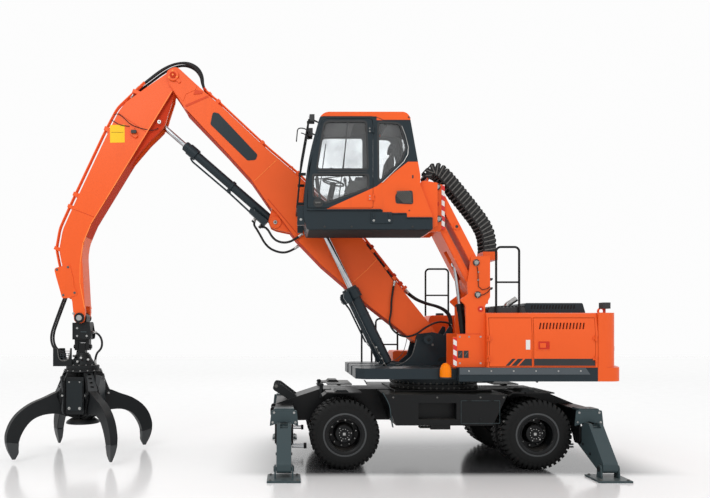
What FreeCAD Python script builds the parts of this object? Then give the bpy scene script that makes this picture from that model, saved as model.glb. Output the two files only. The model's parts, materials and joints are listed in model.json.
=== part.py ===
"""Wheeled material handler: rubber-tyred carrier with four stabilisers, slewing upper,
boom, goose-neck arm, four-tine grapple and a cab raised on parallel links.

Millimetres.  The model is laid out from the slew axis at ground level, facing -X, with
the cab side at -Y, and moved at the end so that the origin is the centre of the floor
under the whole machine.  Every size below can be changed by itself.
"""
import FreeCAD
import Part
import math
import os

Vec = FreeCAD.Vector
AXIS_X, AXIS_Y, AXIS_Z = Vec(1, 0, 0), Vec(0, 1, 0), Vec(0, 0, 1)
LEFT, RIGHT = -1, 1                   # sign of Y on each side of the machine

# ---------------------------------------------------------------- fits and clearances
RUN = 0.08                            # radial clearance of a pin or rod in its bore
SEAT = 0.3                            # gap between curved faces that seat on each other
SIDE_PLAY = 6.0                       # gap beside each moving lug, arm or link
PANEL_GAP = 6.0                       # gap round each door and lid

# ---------------------------------------------------------------- wheels and axles
TYRE_D, TYRE_W = 1055.0, 278.0
TYRE_SPACING = 330.0                  # centre to centre of one pair of twins
RIM_D = 508.0
TRACK_OUTER = 2500.0                  # over the outer tyres
FRONT_AXLE_X, REAR_AXLE_X = -1589.0, 1301.0
HUB_R, HUB_OUT = 140.0, 95.0          # planetary hub and how far it stands inside the rim edge
SPINDLE_R = 65.0
KINGPIN_Y, KINGPIN_R = 590.0, 26.0
AXLE_BEAM = 150.0
DIFF_R = 185.0
STEER_CLEAR = 380.0                   # half width of the frame beside the steered tyres

# ---------------------------------------------------------------- carrier frame
CHASSIS_TOP, CHASSIS_BOTTOM = 1140.0, 640.0
CHASSIS_HALF = 370.0
RING_R, RING_BORE_R = 715.0, 600.0
RING_TOP = 1235.0
BOX_TOP, BOX_BOTTOM = 1134.0, 667.0
BOX_HALF = 1230.0
TIE_Y, TIE_Z, TIE_OUT = 250.0, 760.0, 45.0   # tie-down eyes on both ends of the frame
TIE_R, TIE_T = 30.0, 40.0

# ---------------------------------------------------------------- stabilisers
STAB_FRONT_X, STAB_REAR_X = -2500.0, 2070.0
LEG_W, LEG_PIVOT_Y, LEG_PIVOT_Z = 210.0, 1150.0, 470.0
LEG_PIN_R = 45.0
PAD_PIN_Y, PAD_PIN_Z, PAD_PIN_R = 1870.0, 150.0, 28.0
PAD_SIZE, PAD_T = 470.0, 28.0
HOUSING_PLATE = 28.0

# ---------------------------------------------------------------- upper frame
DECK_TOP, DECK_BOTTOM = 1516.0, 1352.0
DECK_FRONT, DECK_HALF = -1400.0, 1100.0
BODY_HALF = 1250.0
BODY_FRONT, BODY_SEAM, BODY_REAR = 545.0, 1232.0, 2207.0
BODY_TOP, BODY_BOTTOM, BODY_CREASE = 2363.0, 1540.0, 2038.0
SKIRT_BOTTOM = 1330.0
PANEL_T = 30.0
TAIL_R, BUMPER_R = 2750.0, 2820.0
HOOD_HALF, HOOD_H = 850.0, 160.0

# ---------------------------------------------------------------- boom
BOOM_FOOT = Vec(-167, 0, 1944)
BOOM_LENGTH, BOOM_ANGLE = 6018.0, 133.77
BOOM_HALF = 225.0
BOOM_PIN_R = 55.0
BRACKET_T = 26.0

# ---------------------------------------------------------------- arm
ARM_LENGTH, ARM_ANGLE = 4282.0, 248.68
ARM_HALF = 190.0
ARM_PIN_R = 50.0
END_PIN_R = 45.0
HANGER_HALF = 110.0

# ---------------------------------------------------------------- cab and its riser
CAB_OUT = 1390.0                      # outer cab side from the middle plane
CAB_IN = BOOM_HALF + 225.0            # inner cab side, clear of the boom and its cylinders
CAB_WALL = 50.0
RISER_OUT, RISER_IN, RISER_PLATE = 1150.0, 445.0, 40.0
LINK_LENGTH, LINK_ANGLE = 1288.0, 117.26
TOWER_LOW = Vec(428, 0, 2637)
TOWER_PIN_RISE = 485.0
RISER_PIN_R = 40.0

# ---------------------------------------------------------------- grapple
HANGER_DROP = 480.0                   # fore-and-aft pin down to the rotator's cross pin
GRAPPLE_TOP, GRAPPLE_LOW = 1400.0, 535.0
TINE_COUNT, TINE_W = 4, 130.0
TINE_TURN = 38.0                      # heading of the first tine from the machine's axis
TIP_GAP = 50.0                        # tips above the ground


# ================================================================ drawing helpers
def outline(points, place):
    """Closed wire through 2D points; a third number rounds that corner with an arc."""
    corners = []
    for index, point in enumerate(points):
        here = Vec(point[0], point[1], 0)
        if len(point) < 3:
            corners.append((here, None, here))
            continue
        before, after = points[index - 1], points[(index + 1) % len(points)]
        back = (Vec(before[0], before[1], 0) - here).normalize()
        ahead = (Vec(after[0], after[1], 0) - here).normalize()
        half = back.getAngle(ahead) / 2
        centre = here + (back + ahead).normalize() * (point[2] / math.sin(half))
        reach = point[2] / math.tan(half)
        middle = centre + (here - centre).normalize() * point[2]
        corners.append((here + back * reach, middle, here + ahead * reach))
    edges = []
    for index, (start, middle, end) in enumerate(corners):
        if middle is not None:
            edges.append(Part.Arc(place(start), place(middle), place(end)).toShape())
        following = corners[(index + 1) % len(corners)][0]
        if (following - end).Length > 1e-6:
            edges.append(Part.makeLine(place(end), place(following)))
    return Part.Wire(edges)


def prism(points, place, depth):
    return Part.Face(outline(points, place)).extrude(depth)


def plate_xz(points, y0, y1):
    return prism(points, lambda p: Vec(p.x, y0, p.y), Vec(0, y1 - y0, 0))


def plate_yz(points, x0, x1):
    return prism(points, lambda p: Vec(x0, p.x, p.y), Vec(x1 - x0, 0, 0))


def plate_xy(points, z0, z1):
    return prism(points, lambda p: Vec(p.x, p.y, z0), Vec(0, 0, z1 - z0))


def along(foot, angle, s, t, y=0.0):
    """Point s along a member from its foot pin and t off its line."""
    turn = math.radians(angle)
    return Vec(foot.x + s * math.cos(turn) + t * math.sin(turn), y,
               foot.z + s * math.sin(turn) - t * math.cos(turn))


def member(points, foot, angle, y0, y1):
    """Prism drawn in a member's own frame: s along it, t square to it."""
    return prism(points, lambda p: along(foot, angle, p.x, p.y, y0), Vec(0, y1 - y0, 0))


def block(x0, x1, y0, y1, z0, z1):
    return Part.makeBox(x1 - x0, y1 - y0, z1 - z0, Vec(x0, y0, z0))


def pin_y(at, radius, y0, y1):
    return Part.makeCylinder(radius, y1 - y0, Vec(at.x, y0, at.z), AXIS_Y)


def bar(start, end, radius):
    return Part.makeCylinder(radius, (end - start).Length, start, end - start)


def fuse(*pieces):
    return pieces[0].fuse(list(pieces[1:])).removeSplitter()


def cut(shape, *tools):
    return shape.cut(list(tools))


def mirrored(shape):
    return shape.mirror(Vec(0, 0, 0), AXIS_Y)


def on_side(shape, side):
    """A shape drawn at +Y, put on the side asked for."""
    return shape if side == RIGHT else mirrored(shape)


def turned(points, axle_x, y_sign=1):
    """Ring turned about an axle: points are (y, radius)."""
    place = lambda p: Vec(axle_x, y_sign * p.x, TYRE_D / 2 + p.y)
    face = Part.Face(outline(points, place))
    return face.revolve(Vec(axle_x, 0, TYRE_D / 2), AXIS_Y, 360)


def tube(points, radius, bend=None):
    """Round bar along straight runs joined by tangent arcs."""
    points = [Vec(*p) for p in points]
    edges, start, radii = [], points[0], []
    for index in range(1, len(points) - 1):
        here = points[index]
        back, ahead = points[index - 1] - here, points[index + 1] - here
        shorter = min(back.Length, ahead.Length)
        back.normalize()
        ahead.normalize()
        half = back.getAngle(ahead) / 2
        turn = bend or 0.45 * shorter * math.tan(half)
        reach = turn / math.tan(half)
        centre = here + (back + ahead).normalize() * (turn / math.sin(half))
        first, last = here + back * reach, here + ahead * reach
        edges.append(Part.makeLine(start, first))
        middle = centre + (here - centre).normalize() * turn
        edges.append(Part.Arc(first, middle, last).toShape())
        start = last
        radii.append(turn)
    edges.append(Part.makeLine(start, points[-1]))
    path = Part.Wire(edges)
    ring = Part.Wire(Part.makeCircle(radius, points[0], points[1] - points[0]))
    solid = path.makePipeShell([ring], True, True)
    if not bend:
        ratio = solid.Volume / (math.pi * radius ** 2 * path.Length)
        print("  hose radius %.0f  length %.0f  least bend %.0f  volume ratio %.4f"
              % (radius, path.Length, min(radii), ratio))
    return solid


NODES = {}


def node(name, *solids):
    NODES[name] = list(solids)


# ================================================================ cylinders
def cylinder_pair(base, eye, y, size, barrel_length, reach_in, slack_side):
    """Barrel with its base eye, and rod with its far eye.

    size = (barrel radius, rod radius, base eye radius, base pin radius, base eye half
    width, rod eye radius, rod pin radius, rod eye half width); reach_in is how much rod
    is inside the barrel; slack_side = half length of the pin that the rod eye carries."""
    r_barrel, r_rod, r_eye, r_pin, w_eye, r_rod_eye, r_rod_pin, w_rod_eye = size
    base, eye = Vec(base.x, y, base.z), Vec(eye.x, y, eye.z)
    line = (eye - base).normalize()
    head = base + line * barrel_length
    barrel = fuse(pin_y(base, r_eye, y - w_eye, y + w_eye),
                  bar(base + line * r_eye * 0.5, base + line * (r_eye + 40), w_eye * 0.8),
                  bar(base + line * (r_eye + 30), head, r_barrel),
                  bar(head - line * 110, head, r_barrel * 1.1))
    bore = bar(base + line * (r_eye + 60), head + line, r_rod + RUN)
    barrel = cut(barrel, bore, pin_y(base, r_pin + RUN, y - w_eye - 1, y + w_eye + 1))
    rod = fuse(bar(head - line * reach_in, eye - line * r_rod_eye * 0.6, r_rod),
               pin_y(eye, r_rod_eye, y - w_rod_eye, y + w_rod_eye),
               pin_y(eye, r_rod_pin, y - slack_side, y + slack_side))
    return barrel, rod


# ================================================================ carrier
AXLE_Z = TYRE_D / 2
TYRE_OUT_Y = TRACK_OUTER / 2 - TYRE_W / 2
TYRE_IN_Y = TYRE_OUT_Y - TYRE_SPACING
SPINDLE_END = TYRE_OUT_Y - 25
HOUSE_HALF = LEG_W / 2 + SIDE_PLAY + HOUSING_PLATE


def stabiliser_housing(x0):
    """Two plates and a roof on each side; the leg's pivot pin runs between the plates."""
    pieces = []
    for side in (LEFT, RIGHT):
        for low in (x0 - HOUSE_HALF, x0 + HOUSE_HALF - HOUSING_PLATE):
            pieces.append(on_side(plate_yz(
                [(CHASSIS_HALF - 20, 620), (CHASSIS_HALF - 20, 905), (LEG_PIVOT_Y - 30, 905),
                 (LEG_PIVOT_Y + 95, LEG_PIVOT_Z + 170), (LEG_PIVOT_Y + 100, LEG_PIVOT_Z - 80, 60),
                 (LEG_PIVOT_Y - 100, LEG_PIVOT_Z - 80, 60), (LEG_PIVOT_Y - 200, 560), (700, 620)],
                low, low + HOUSING_PLATE), side))
        pieces.append(on_side(block(x0 - HOUSE_HALF, x0 + HOUSE_HALF,
                                    CHASSIS_HALF - 20, LEG_PIVOT_Y, 877, 905), side))
        pin = Part.makeCylinder(LEG_PIN_R, 2 * HOUSE_HALF,
                                Vec(x0 - HOUSE_HALF, LEG_PIVOT_Y, LEG_PIVOT_Z), AXIS_X)
        pieces.append(on_side(pin, side))
    return pieces


def make_chassis():
    front, rear = STAB_FRONT_X - HOUSE_HALF, STAB_REAR_X + HOUSE_HALF
    notch = 280
    core = plate_xz(
        [(front, 620), (front, 905), (front + 710, CHASSIS_TOP), (rear - 570, CHASSIS_TOP),
         (rear, 905), (rear, 620), (rear - 350, CHASSIS_BOTTOM), (REAR_AXLE_X + notch + 60, CHASSIS_BOTTOM),
         (REAR_AXLE_X + notch, 760), (REAR_AXLE_X - notch, 760), (REAR_AXLE_X - notch - 60, CHASSIS_BOTTOM),
         (FRONT_AXLE_X + notch + 60, CHASSIS_BOTTOM), (FRONT_AXLE_X + notch, 760),
         (FRONT_AXLE_X - notch, 760), (FRONT_AXLE_X - notch - 60, CHASSIS_BOTTOM)],
        -CHASSIS_HALF, CHASSIS_HALF)
    table = block(-RING_R - 45, RING_R + 45, -RING_R - 45, RING_R + 45, BOX_TOP, CHASSIS_TOP + 20)
    ring = Part.makeCylinder(RING_R, RING_TOP - CHASSIS_TOP - 20, Vec(0, 0, CHASSIS_TOP + 20))
    well = Part.makeCylinder(RING_BORE_R, RING_TOP - CHASSIS_TOP, Vec(0, 0, CHASSIS_TOP + 20))
    parts = [core, table, cut(ring, well)]
    for axle_x in (FRONT_AXLE_X, REAR_AXLE_X):
        for side in (LEFT, RIGHT):
            parts.append(on_side(block(axle_x - 170, axle_x + 260, CHASSIS_HALF - 10, 1240,
                                       CHASSIS_TOP + 6, CHASSIS_TOP + 26), side))
            parts.append(on_side(block(axle_x + 20, axle_x + 60, CHASSIS_HALF - 10, 1000,
                                       CHASSIS_TOP - 20, CHASSIS_TOP + 6), side))
    parts += stabiliser_housing(STAB_FRONT_X) + stabiliser_housing(STAB_REAR_X)
    for face, way in ((front, -1), (rear, 1)):
        for side in (LEFT, RIGHT):
            eye = Vec(face + way * TIE_OUT, side * TIE_Y, TIE_Z)
            lug = plate_xz([(face - way * 10, TIE_Z - 80), (eye.x + way * 45, TIE_Z - 80, 45),
                            (eye.x + way * 45, TIE_Z + 80, 45), (face - way * 10, TIE_Z + 80)],
                           eye.y - TIE_T / 2, eye.y + TIE_T / 2)
            parts.append(cut(lug, pin_y(eye, TIE_R, eye.y - TIE_T, eye.y + TIE_T)))
    node("chassis", fuse(*parts))


def make_side_boxes():
    points = [(-990, BOX_TOP), (-820, BOX_BOTTOM), (640, BOX_BOTTOM), (860, BOX_TOP)]
    sides = []
    for side in (LEFT, RIGHT):
        box = plate_xz(points, CHASSIS_HALF, BOX_HALF)
        step = block(-480, 90, BOX_HALF - 190, BOX_HALF + 1, BOX_BOTTOM + 90, BOX_TOP - 130)
        rung = block(-300, 0, BOX_HALF - 60, BOX_HALF, BOX_BOTTOM - 60, BOX_BOTTOM)
        sides.append(on_side(fuse(cut(box, step), rung), side))
    node("side_boxes", *sides)


def make_axles():
    beams = []
    for axle_x, steered in ((FRONT_AXLE_X, True), (REAR_AXLE_X, False)):
        half = AXLE_BEAM / 2
        reach = KINGPIN_Y - 90 if steered else TYRE_IN_Y - 160
        parts = [block(axle_x - half, axle_x + half, -reach, reach, AXLE_Z - half, AXLE_Z + half),
                 Part.makeSphere(DIFF_R, Vec(axle_x, 0, AXLE_Z)),
                 block(axle_x - 160, axle_x + 160, -200, 200, AXLE_Z, 760)]
        for side in (LEFT, RIGHT):
            if steered:
                wall = block(axle_x - 70, axle_x + 70, KINGPIN_Y - 120, KINGPIN_Y - 65,
                             AXLE_Z - 165, AXLE_Z + 165)
                arms = [block(axle_x - 70, axle_x + 70, KINGPIN_Y - 100, KINGPIN_Y + 50, z0, z0 + 60)
                        for z0 in (AXLE_Z - 165, AXLE_Z + 105)]
                kingpin = Part.makeCylinder(KINGPIN_R, 330, Vec(axle_x, KINGPIN_Y, AXLE_Z - 165))
                parts += [on_side(piece, side) for piece in (wall, *arms, kingpin)]
            else:
                parts.append(on_side(pin_y(Vec(axle_x, 0, AXLE_Z), SPINDLE_R, reach - 10,
                                           SPINDLE_END), side))
        beams.append(fuse(*parts))
    node("axles", *beams)


def make_knuckle(side):
    centre = Vec(FRONT_AXLE_X, KINGPIN_Y, AXLE_Z)
    height = 105 - SIDE_PLAY
    barrel = Part.makeCylinder(58, 2 * height, centre - Vec(0, 0, height))
    spindle = pin_y(centre, SPINDLE_R, KINGPIN_Y + 20, SPINDLE_END)
    lever = block(centre.x, centre.x + 165, KINGPIN_Y - 20, KINGPIN_Y + 30, AXLE_Z - height, AXLE_Z - 60)
    bore = Part.makeCylinder(KINGPIN_R + RUN, 2 * height + 2, centre - Vec(0, 0, height + 1))
    return on_side(cut(fuse(barrel, spindle, lever), bore), side)


def make_wheels(axle_x, side):
    """Twin tyres, and the one welded rim with its hub that carries both."""
    seat, lip, skin = RIM_D / 2, 18, 12
    bead = TYRE_W / 2 - 14
    inner, outer = TYRE_IN_Y - TYRE_W / 2 + 2, TYRE_OUT_Y + TYRE_W / 2 - 2
    hub_face = outer - HUB_OUT
    rim = turned([(inner, seat - skin), (inner, seat + lip), (TYRE_IN_Y - bead, seat + lip),
                  (TYRE_IN_Y - bead, seat), (TYRE_IN_Y + bead, seat), (TYRE_IN_Y + bead, seat + lip - 4),
                  (TYRE_OUT_Y - bead, seat + lip - 4), (TYRE_OUT_Y - bead, seat), (TYRE_OUT_Y + bead, seat),
                  (TYRE_OUT_Y + bead, seat + lip), (outer, seat + lip), (outer, seat - skin),
                  (TYRE_IN_Y + 190, seat - skin), (TYRE_IN_Y + 190, HUB_R), (hub_face, HUB_R, 20),
                  (hub_face, 0), (SPINDLE_END + 5, 0), (SPINDLE_END + 5, SPINDLE_R + RUN),
                  (TYRE_IN_Y - 60, SPINDLE_R + RUN), (TYRE_IN_Y - 60, HUB_R - 20),
                  (TYRE_IN_Y + 155, HUB_R - 20), (TYRE_IN_Y + 155, seat - skin)], axle_x, side)
    tyres = []
    for middle in (TYRE_IN_Y, TYRE_OUT_Y):
        bulge, crown, top = TYRE_W / 2, TYRE_W / 2 - 30, TYRE_D / 2
        wall = top - seat
        half = [(-bead + 1, seat + SEAT), (-bead + 1, seat + lip + 3), (-bulge, seat + wall * 0.2925, 50),
                (-bulge, top - wall * 0.4022, 90), (-bulge + 14, top - 24, 18), (-crown, top, 14)]
        other = [(-p[0],) + tuple(p[1:]) for p in reversed(half)]
        tyres.append(turned([(middle + p[0],) + tuple(p[1:]) for p in half + other], axle_x, side))
    return rim, tyres


# ================================================================ stabilisers
EYE_Y, EYE_Z = LEG_PIVOT_Y + 250, LEG_PIVOT_Z + 190


def make_leg(x0, side):
    low, high = x0 - LEG_W / 2, x0 + LEG_W / 2
    arm = plate_yz([(LEG_PIVOT_Y - 75, LEG_PIVOT_Z - 85, 70), (LEG_PIVOT_Y - 75, LEG_PIVOT_Z + 90, 60),
                    (LEG_PIVOT_Y + 190, LEG_PIVOT_Z + 262, 60), (LEG_PIVOT_Y + 325, LEG_PIVOT_Z + 262, 70),
                    (PAD_PIN_Y + 72, PAD_PIN_Z + 80, 55), (PAD_PIN_Y + 72, PAD_PIN_Z - 55, 50),
                    (PAD_PIN_Y - 70, PAD_PIN_Z - 55, 50)], low, high)
    slot = block(x0 - 55, x0 + 55, EYE_Y - 110, EYE_Y + 130, EYE_Z - 90, EYE_Z + 120)
    eye = Part.makeCylinder(28, LEG_W, Vec(low, EYE_Y, EYE_Z), AXIS_X)
    bores = [Part.makeCylinder(radius + RUN, LEG_W + 2, Vec(low - 1, y, z), AXIS_X)
             for radius, y, z in ((LEG_PIN_R, LEG_PIVOT_Y, LEG_PIVOT_Z), (PAD_PIN_R, PAD_PIN_Y, PAD_PIN_Z))]
    return on_side(cut(fuse(cut(arm, slot), eye), *bores), side)


def make_pad(x0, side):
    half, lug = PAD_SIZE / 2, LEG_W / 2 + SIDE_PLAY
    plate = block(x0 - half, x0 + half, PAD_PIN_Y - half, PAD_PIN_Y + half, 0, PAD_T)
    lugs = [plate_yz([(PAD_PIN_Y - 75, PAD_T - 5), (PAD_PIN_Y - 58, PAD_PIN_Z + 58, 50),
                      (PAD_PIN_Y + 58, PAD_PIN_Z + 58, 50), (PAD_PIN_Y + 75, PAD_T - 5)], x, x + 24)
            for x in (x0 - lug - 24, x0 + lug)]
    pin = Part.makeCylinder(PAD_PIN_R, 2 * lug + 48, Vec(x0 - lug - 24, PAD_PIN_Y, PAD_PIN_Z), AXIS_X)
    return on_side(fuse(plate, *lugs, pin), side)


# ================================================================ upper frame
CYL_R, CYL_EYE_HALF = 82.5, 50.0
CYL_Y = BOOM_HALF + 120.0
CYL_BASE = Vec(-768, 0, 1461)
CYL_PIN_R = 40.0
INNER_PLATE = BOOM_HALF + SIDE_PLAY          # inner face of each inner bracket plate
OUTER_PLATE_0 = CYL_Y + CYL_EYE_HALF + SIDE_PLAY
OUTER_PLATE_1 = OUTER_PLATE_0 + 32
MANIFOLD_TOP = 1900.0                  # block where the boom's hoses start


def make_revolving_frame():
    deck = plate_xy([(DECK_FRONT, -DECK_HALF + 150), (DECK_FRONT, DECK_HALF - 150),
                     (DECK_FRONT + 130, DECK_HALF), (BODY_REAR, DECK_HALF),
                     (BODY_REAR, -DECK_HALF), (DECK_FRONT + 130, -DECK_HALF)], DECK_BOTTOM, DECK_TOP)
    slots = [on_side(block(DECK_FRONT - 10, -560, INNER_PLATE + BRACKET_T, OUTER_PLATE_1,
                           DECK_BOTTOM - 1, DECK_TOP + 1), side) for side in (LEFT, RIGHT)]
    spigot = Part.makeCylinder(RING_BORE_R - SEAT, DECK_BOTTOM - CHASSIS_TOP - 26,
                               Vec(0, 0, CHASSIS_TOP + 26))
    collar = Part.makeCylinder(RING_R - 20, DECK_BOTTOM - RING_TOP - 5, Vec(0, 0, RING_TOP + 5))
    parts = [cut(deck, *slots), spigot, collar]
    bracket = [(-905, DECK_BOTTOM), (-880, 1560, 60), (-660, 1570, 40), (-540, 1560), (-400, 1680),
               (-352, 1860), (-335, 2030, 70), (-60, 2065, 60), (120, 2020), (215, 2165), (262, 2150),
               (265, DECK_BOTTOM)]
    ear = CYL_PIN_R + 60
    shoulder = [(CYL_BASE.x - ear, DECK_BOTTOM), (CYL_BASE.x - ear, CYL_BASE.z + ear, ear - 5),
                (CYL_BASE.x + ear, CYL_BASE.z + ear, ear - 5), (CYL_BASE.x + ear + 30, DECK_TOP),
                (-440, DECK_TOP), (-440, DECK_BOTTOM)]
    manifold = block(230, 370, -130, 130, DECK_TOP, MANIFOLD_TOP)
    for side in (LEFT, RIGHT):
        parts.append(on_side(plate_xz(bracket, INNER_PLATE, INNER_PLATE + BRACKET_T), side))
        parts.append(on_side(plate_xz(shoulder, OUTER_PLATE_0, OUTER_PLATE_1), side))
        parts.append(on_side(pin_y(CYL_BASE, CYL_PIN_R, INNER_PLATE + 2, OUTER_PLATE_1), side))
        skirt = block(120, BODY_REAR, DECK_HALF - 5, BODY_HALF, SKIRT_BOTTOM, BODY_BOTTOM)
        parts.append(on_side(skirt, side))
    parts.append(pin_y(BOOM_FOOT, BOOM_PIN_R, -INNER_PLATE - BRACKET_T - 12, INNER_PLATE + BRACKET_T + 12))
    parts.append(manifold)
    node("revolving_frame", fuse(*parts))


def make_counterweight():
    pieces = []
    for radius, gap, z0, z1 in ((TAIL_R, SIDE_PLAY, BODY_BOTTOM, BODY_TOP),
                                (BUMPER_R, 0, SKIRT_BOTTOM, BODY_BOTTOM)):
        disc = Part.makeCylinder(radius, z1 - z0, Vec(0, 0, z0))
        slab = disc.common(block(BODY_REAR + gap, radius + 10, -BODY_HALF, BODY_HALF, z0, z1))
        corner = math.sqrt(radius ** 2 - BODY_HALF ** 2)
        edges = [edge for edge in slab.Edges
                 if abs(edge.CenterOfMass.x - corner) < 1 and edge.BoundBox.ZLength > 50]
        pieces.append(slab.makeFillet(190, edges))
    node("counterweight", fuse(*pieces))


def body_skin(depth, x0, x1, drop=0):
    """Solid of the engine housing, drawn in by the depth given."""
    lean = BODY_HALF - 45 - depth
    return plate_yz([(-BODY_HALF + depth, BODY_BOTTOM - drop), (-BODY_HALF + depth, BODY_CREASE),
                     (-lean, BODY_TOP - depth, 60), (lean, BODY_TOP - depth, 60),
                     (BODY_HALF - depth, BODY_CREASE), (BODY_HALF - depth, BODY_BOTTOM - drop)], x0, x1)


DOOR_TOP = BODY_TOP - 75
HINGE_R, HINGE_PIN_R, HINGE_HALF = 12.0, 6.0, 45.0
HINGE_OUT = 18.0                      # door hinge axes stand this far outside the panel
HINGE_STRAP, STRAP_T = 30.0, 8.0


def side_hinge(x, face, z, door_way):
    """Hinge on a left-hand face: the pieces fixed beside the door, and the door's own leaf."""
    def strap(way, z0, z1):
        return block(min(x, x + way * HINGE_STRAP), max(x, x + way * HINGE_STRAP),
                     -face - STRAP_T, -face + 2, z0, z1)

    def knuckle(radius, z0, z1):
        return Part.makeCylinder(radius, z1 - z0, Vec(x, -face - HINGE_OUT, z0))
    middle = HINGE_HALF / 3
    fixed = [knuckle(HINGE_PIN_R, z - HINGE_HALF, z + HINGE_HALF)]
    for z0, z1 in ((z - HINGE_HALF, z - middle), (z + middle, z + HINGE_HALF)):
        fixed += [knuckle(HINGE_R, z0, z1), strap(-door_way, z0, z1)]
    z0, z1 = z - middle + SEAT, z + middle - SEAT
    leaf = fuse(knuckle(HINGE_R, z0, z1), strap(door_way, z0, z1))
    return fixed, cut(leaf, knuckle(HINGE_PIN_R + RUN, z0 - 1, z1 + 1))


def hung_door(leaf, x, face, heights, door_way):
    """A door leaf with its hinge leaves, and the pieces to add to what carries it."""
    carried, fixed = [], []
    for z in heights:
        still, moving = side_hinge(x, face, z, door_way)
        fixed += still
        carried.append(moving)
    return fuse(leaf, *carried), fixed


HOOD_FRONT, HOOD_REAR = 1215.0, 2195.0
HOOD_HINGE_Y = 500.0
HOOD_PIN_R = 8.0
HOOD_PIN = Vec(HOOD_REAR + 10, 0, BODY_TOP + 10)
SEAM_HALF, REAR_POST = 10.0, 35.0      # fixed strips beside the doors: middle seam, rear corner


def door_space(x0, x1, gap):
    return block(x0 + gap, x1 - gap, -BODY_HALF - 10, -BODY_HALF + 150,
                 BODY_BOTTOM + 10 + gap, DOOR_TOP - gap)


def make_body():
    shell = cut(body_skin(0, BODY_FRONT, BODY_REAR),
                body_skin(PANEL_T, BODY_FRONT + PANEL_T, BODY_REAR + 1, 1))
    spans = ((BODY_FRONT + PANEL_T, BODY_SEAM - SEAM_HALF),
             (BODY_SEAM + SEAM_HALF, BODY_REAR - REAR_POST))
    hatch = block(HOOD_FRONT + 80, HOOD_REAR - 80, -HOOD_HALF + 80, HOOD_HALF - 80,
                  BODY_TOP - 60, BODY_TOP + 5)
    frame = cut(shell, hatch, *[door_space(x0, x1, 0) for x0, x1 in spans])
    heights = (BODY_BOTTOM + 130, BODY_CREASE - HINGE_HALF - 15)
    for name, (x0, x1), way in zip(("left_front_door", "left_rear_door"), spans, (1, -1)):
        hinge_x = x0 + PANEL_GAP / 2 if way > 0 else x1 - PANEL_GAP / 2
        leaf = shell.common(door_space(x0, x1, PANEL_GAP))
        door, fixed = hung_door(leaf, hinge_x, BODY_HALF, heights, way)
        frame = fuse(frame, *fixed)
        node(name, door)
    tank = plate_xz([(-596, DECK_TOP), (-596, 1730, 40), (-190, 1730), (0, 2150, 40), (60, 2355, 60),
                     (BODY_FRONT, 2355), (BODY_FRONT, DECK_TOP)], 520, DECK_HALF - SIDE_PLAY)
    for y in (-HOOD_HINGE_Y - 60, -HOOD_HINGE_Y + 42, HOOD_HINGE_Y - 60, HOOD_HINGE_Y + 42):
        foot = block(HOOD_PIN.x, HOOD_PIN.x + HOOD_PIN_R, y, y + 18, BODY_TOP - 2, HOOD_PIN.z)
        frame = fuse(frame, foot, pin_y(HOOD_PIN, HOOD_PIN_R, y, y + 18))
    node("body_panels", frame, tank)
    node("engine_block", block(1300, 2080, -600, 600, DECK_TOP, 2150))


def make_engine_hood():
    def shape(depth, bottom):
        top = BODY_TOP + HOOD_H - depth
        return plate_xz([(HOOD_FRONT + depth, bottom), (HOOD_FRONT + 40 + depth, top, 30),
                         (HOOD_REAR - 45 - depth, top, 30), (HOOD_REAR - depth, bottom)],
                        -HOOD_HALF + depth, HOOD_HALF - depth)
    knuckles = []
    for y in (-HOOD_HINGE_Y, HOOD_HINGE_Y):
        knuckles.append(pin_y(HOOD_PIN, HOOD_PIN_R, y - 40, y + 40))
        knuckles.append(block(HOOD_REAR - 15, HOOD_PIN.x, y - 40, y + 40, HOOD_PIN.z,
                              HOOD_PIN.z + HOOD_PIN_R))
    node("engine_hood", fuse(cut(shape(0, BODY_TOP + SEAT), shape(25, BODY_TOP - 5)), *knuckles))


# ================================================================ boom and its cylinders
BOOM_ROD_PIN = along(BOOM_FOOT, BOOM_ANGLE, 2646, 61)
ARM_PIVOT = along(BOOM_FOOT, BOOM_ANGLE, BOOM_LENGTH, 0)
ARM_CYL_BASE = along(BOOM_FOOT, BOOM_ANGLE, 3116, -452)
LUG_HALF = 88.0                        # half the space between the arm cylinder's lug plates
TIP_CLAMP, FOOT_CLAMP = 560.0, 820.0   # hose clamps: back from the tip, out from the foot
ARM_CLAMP, END_CLAMP = 560.0, 380.0    # hose clamps: down from the arm's pivot, up from its end


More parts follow.
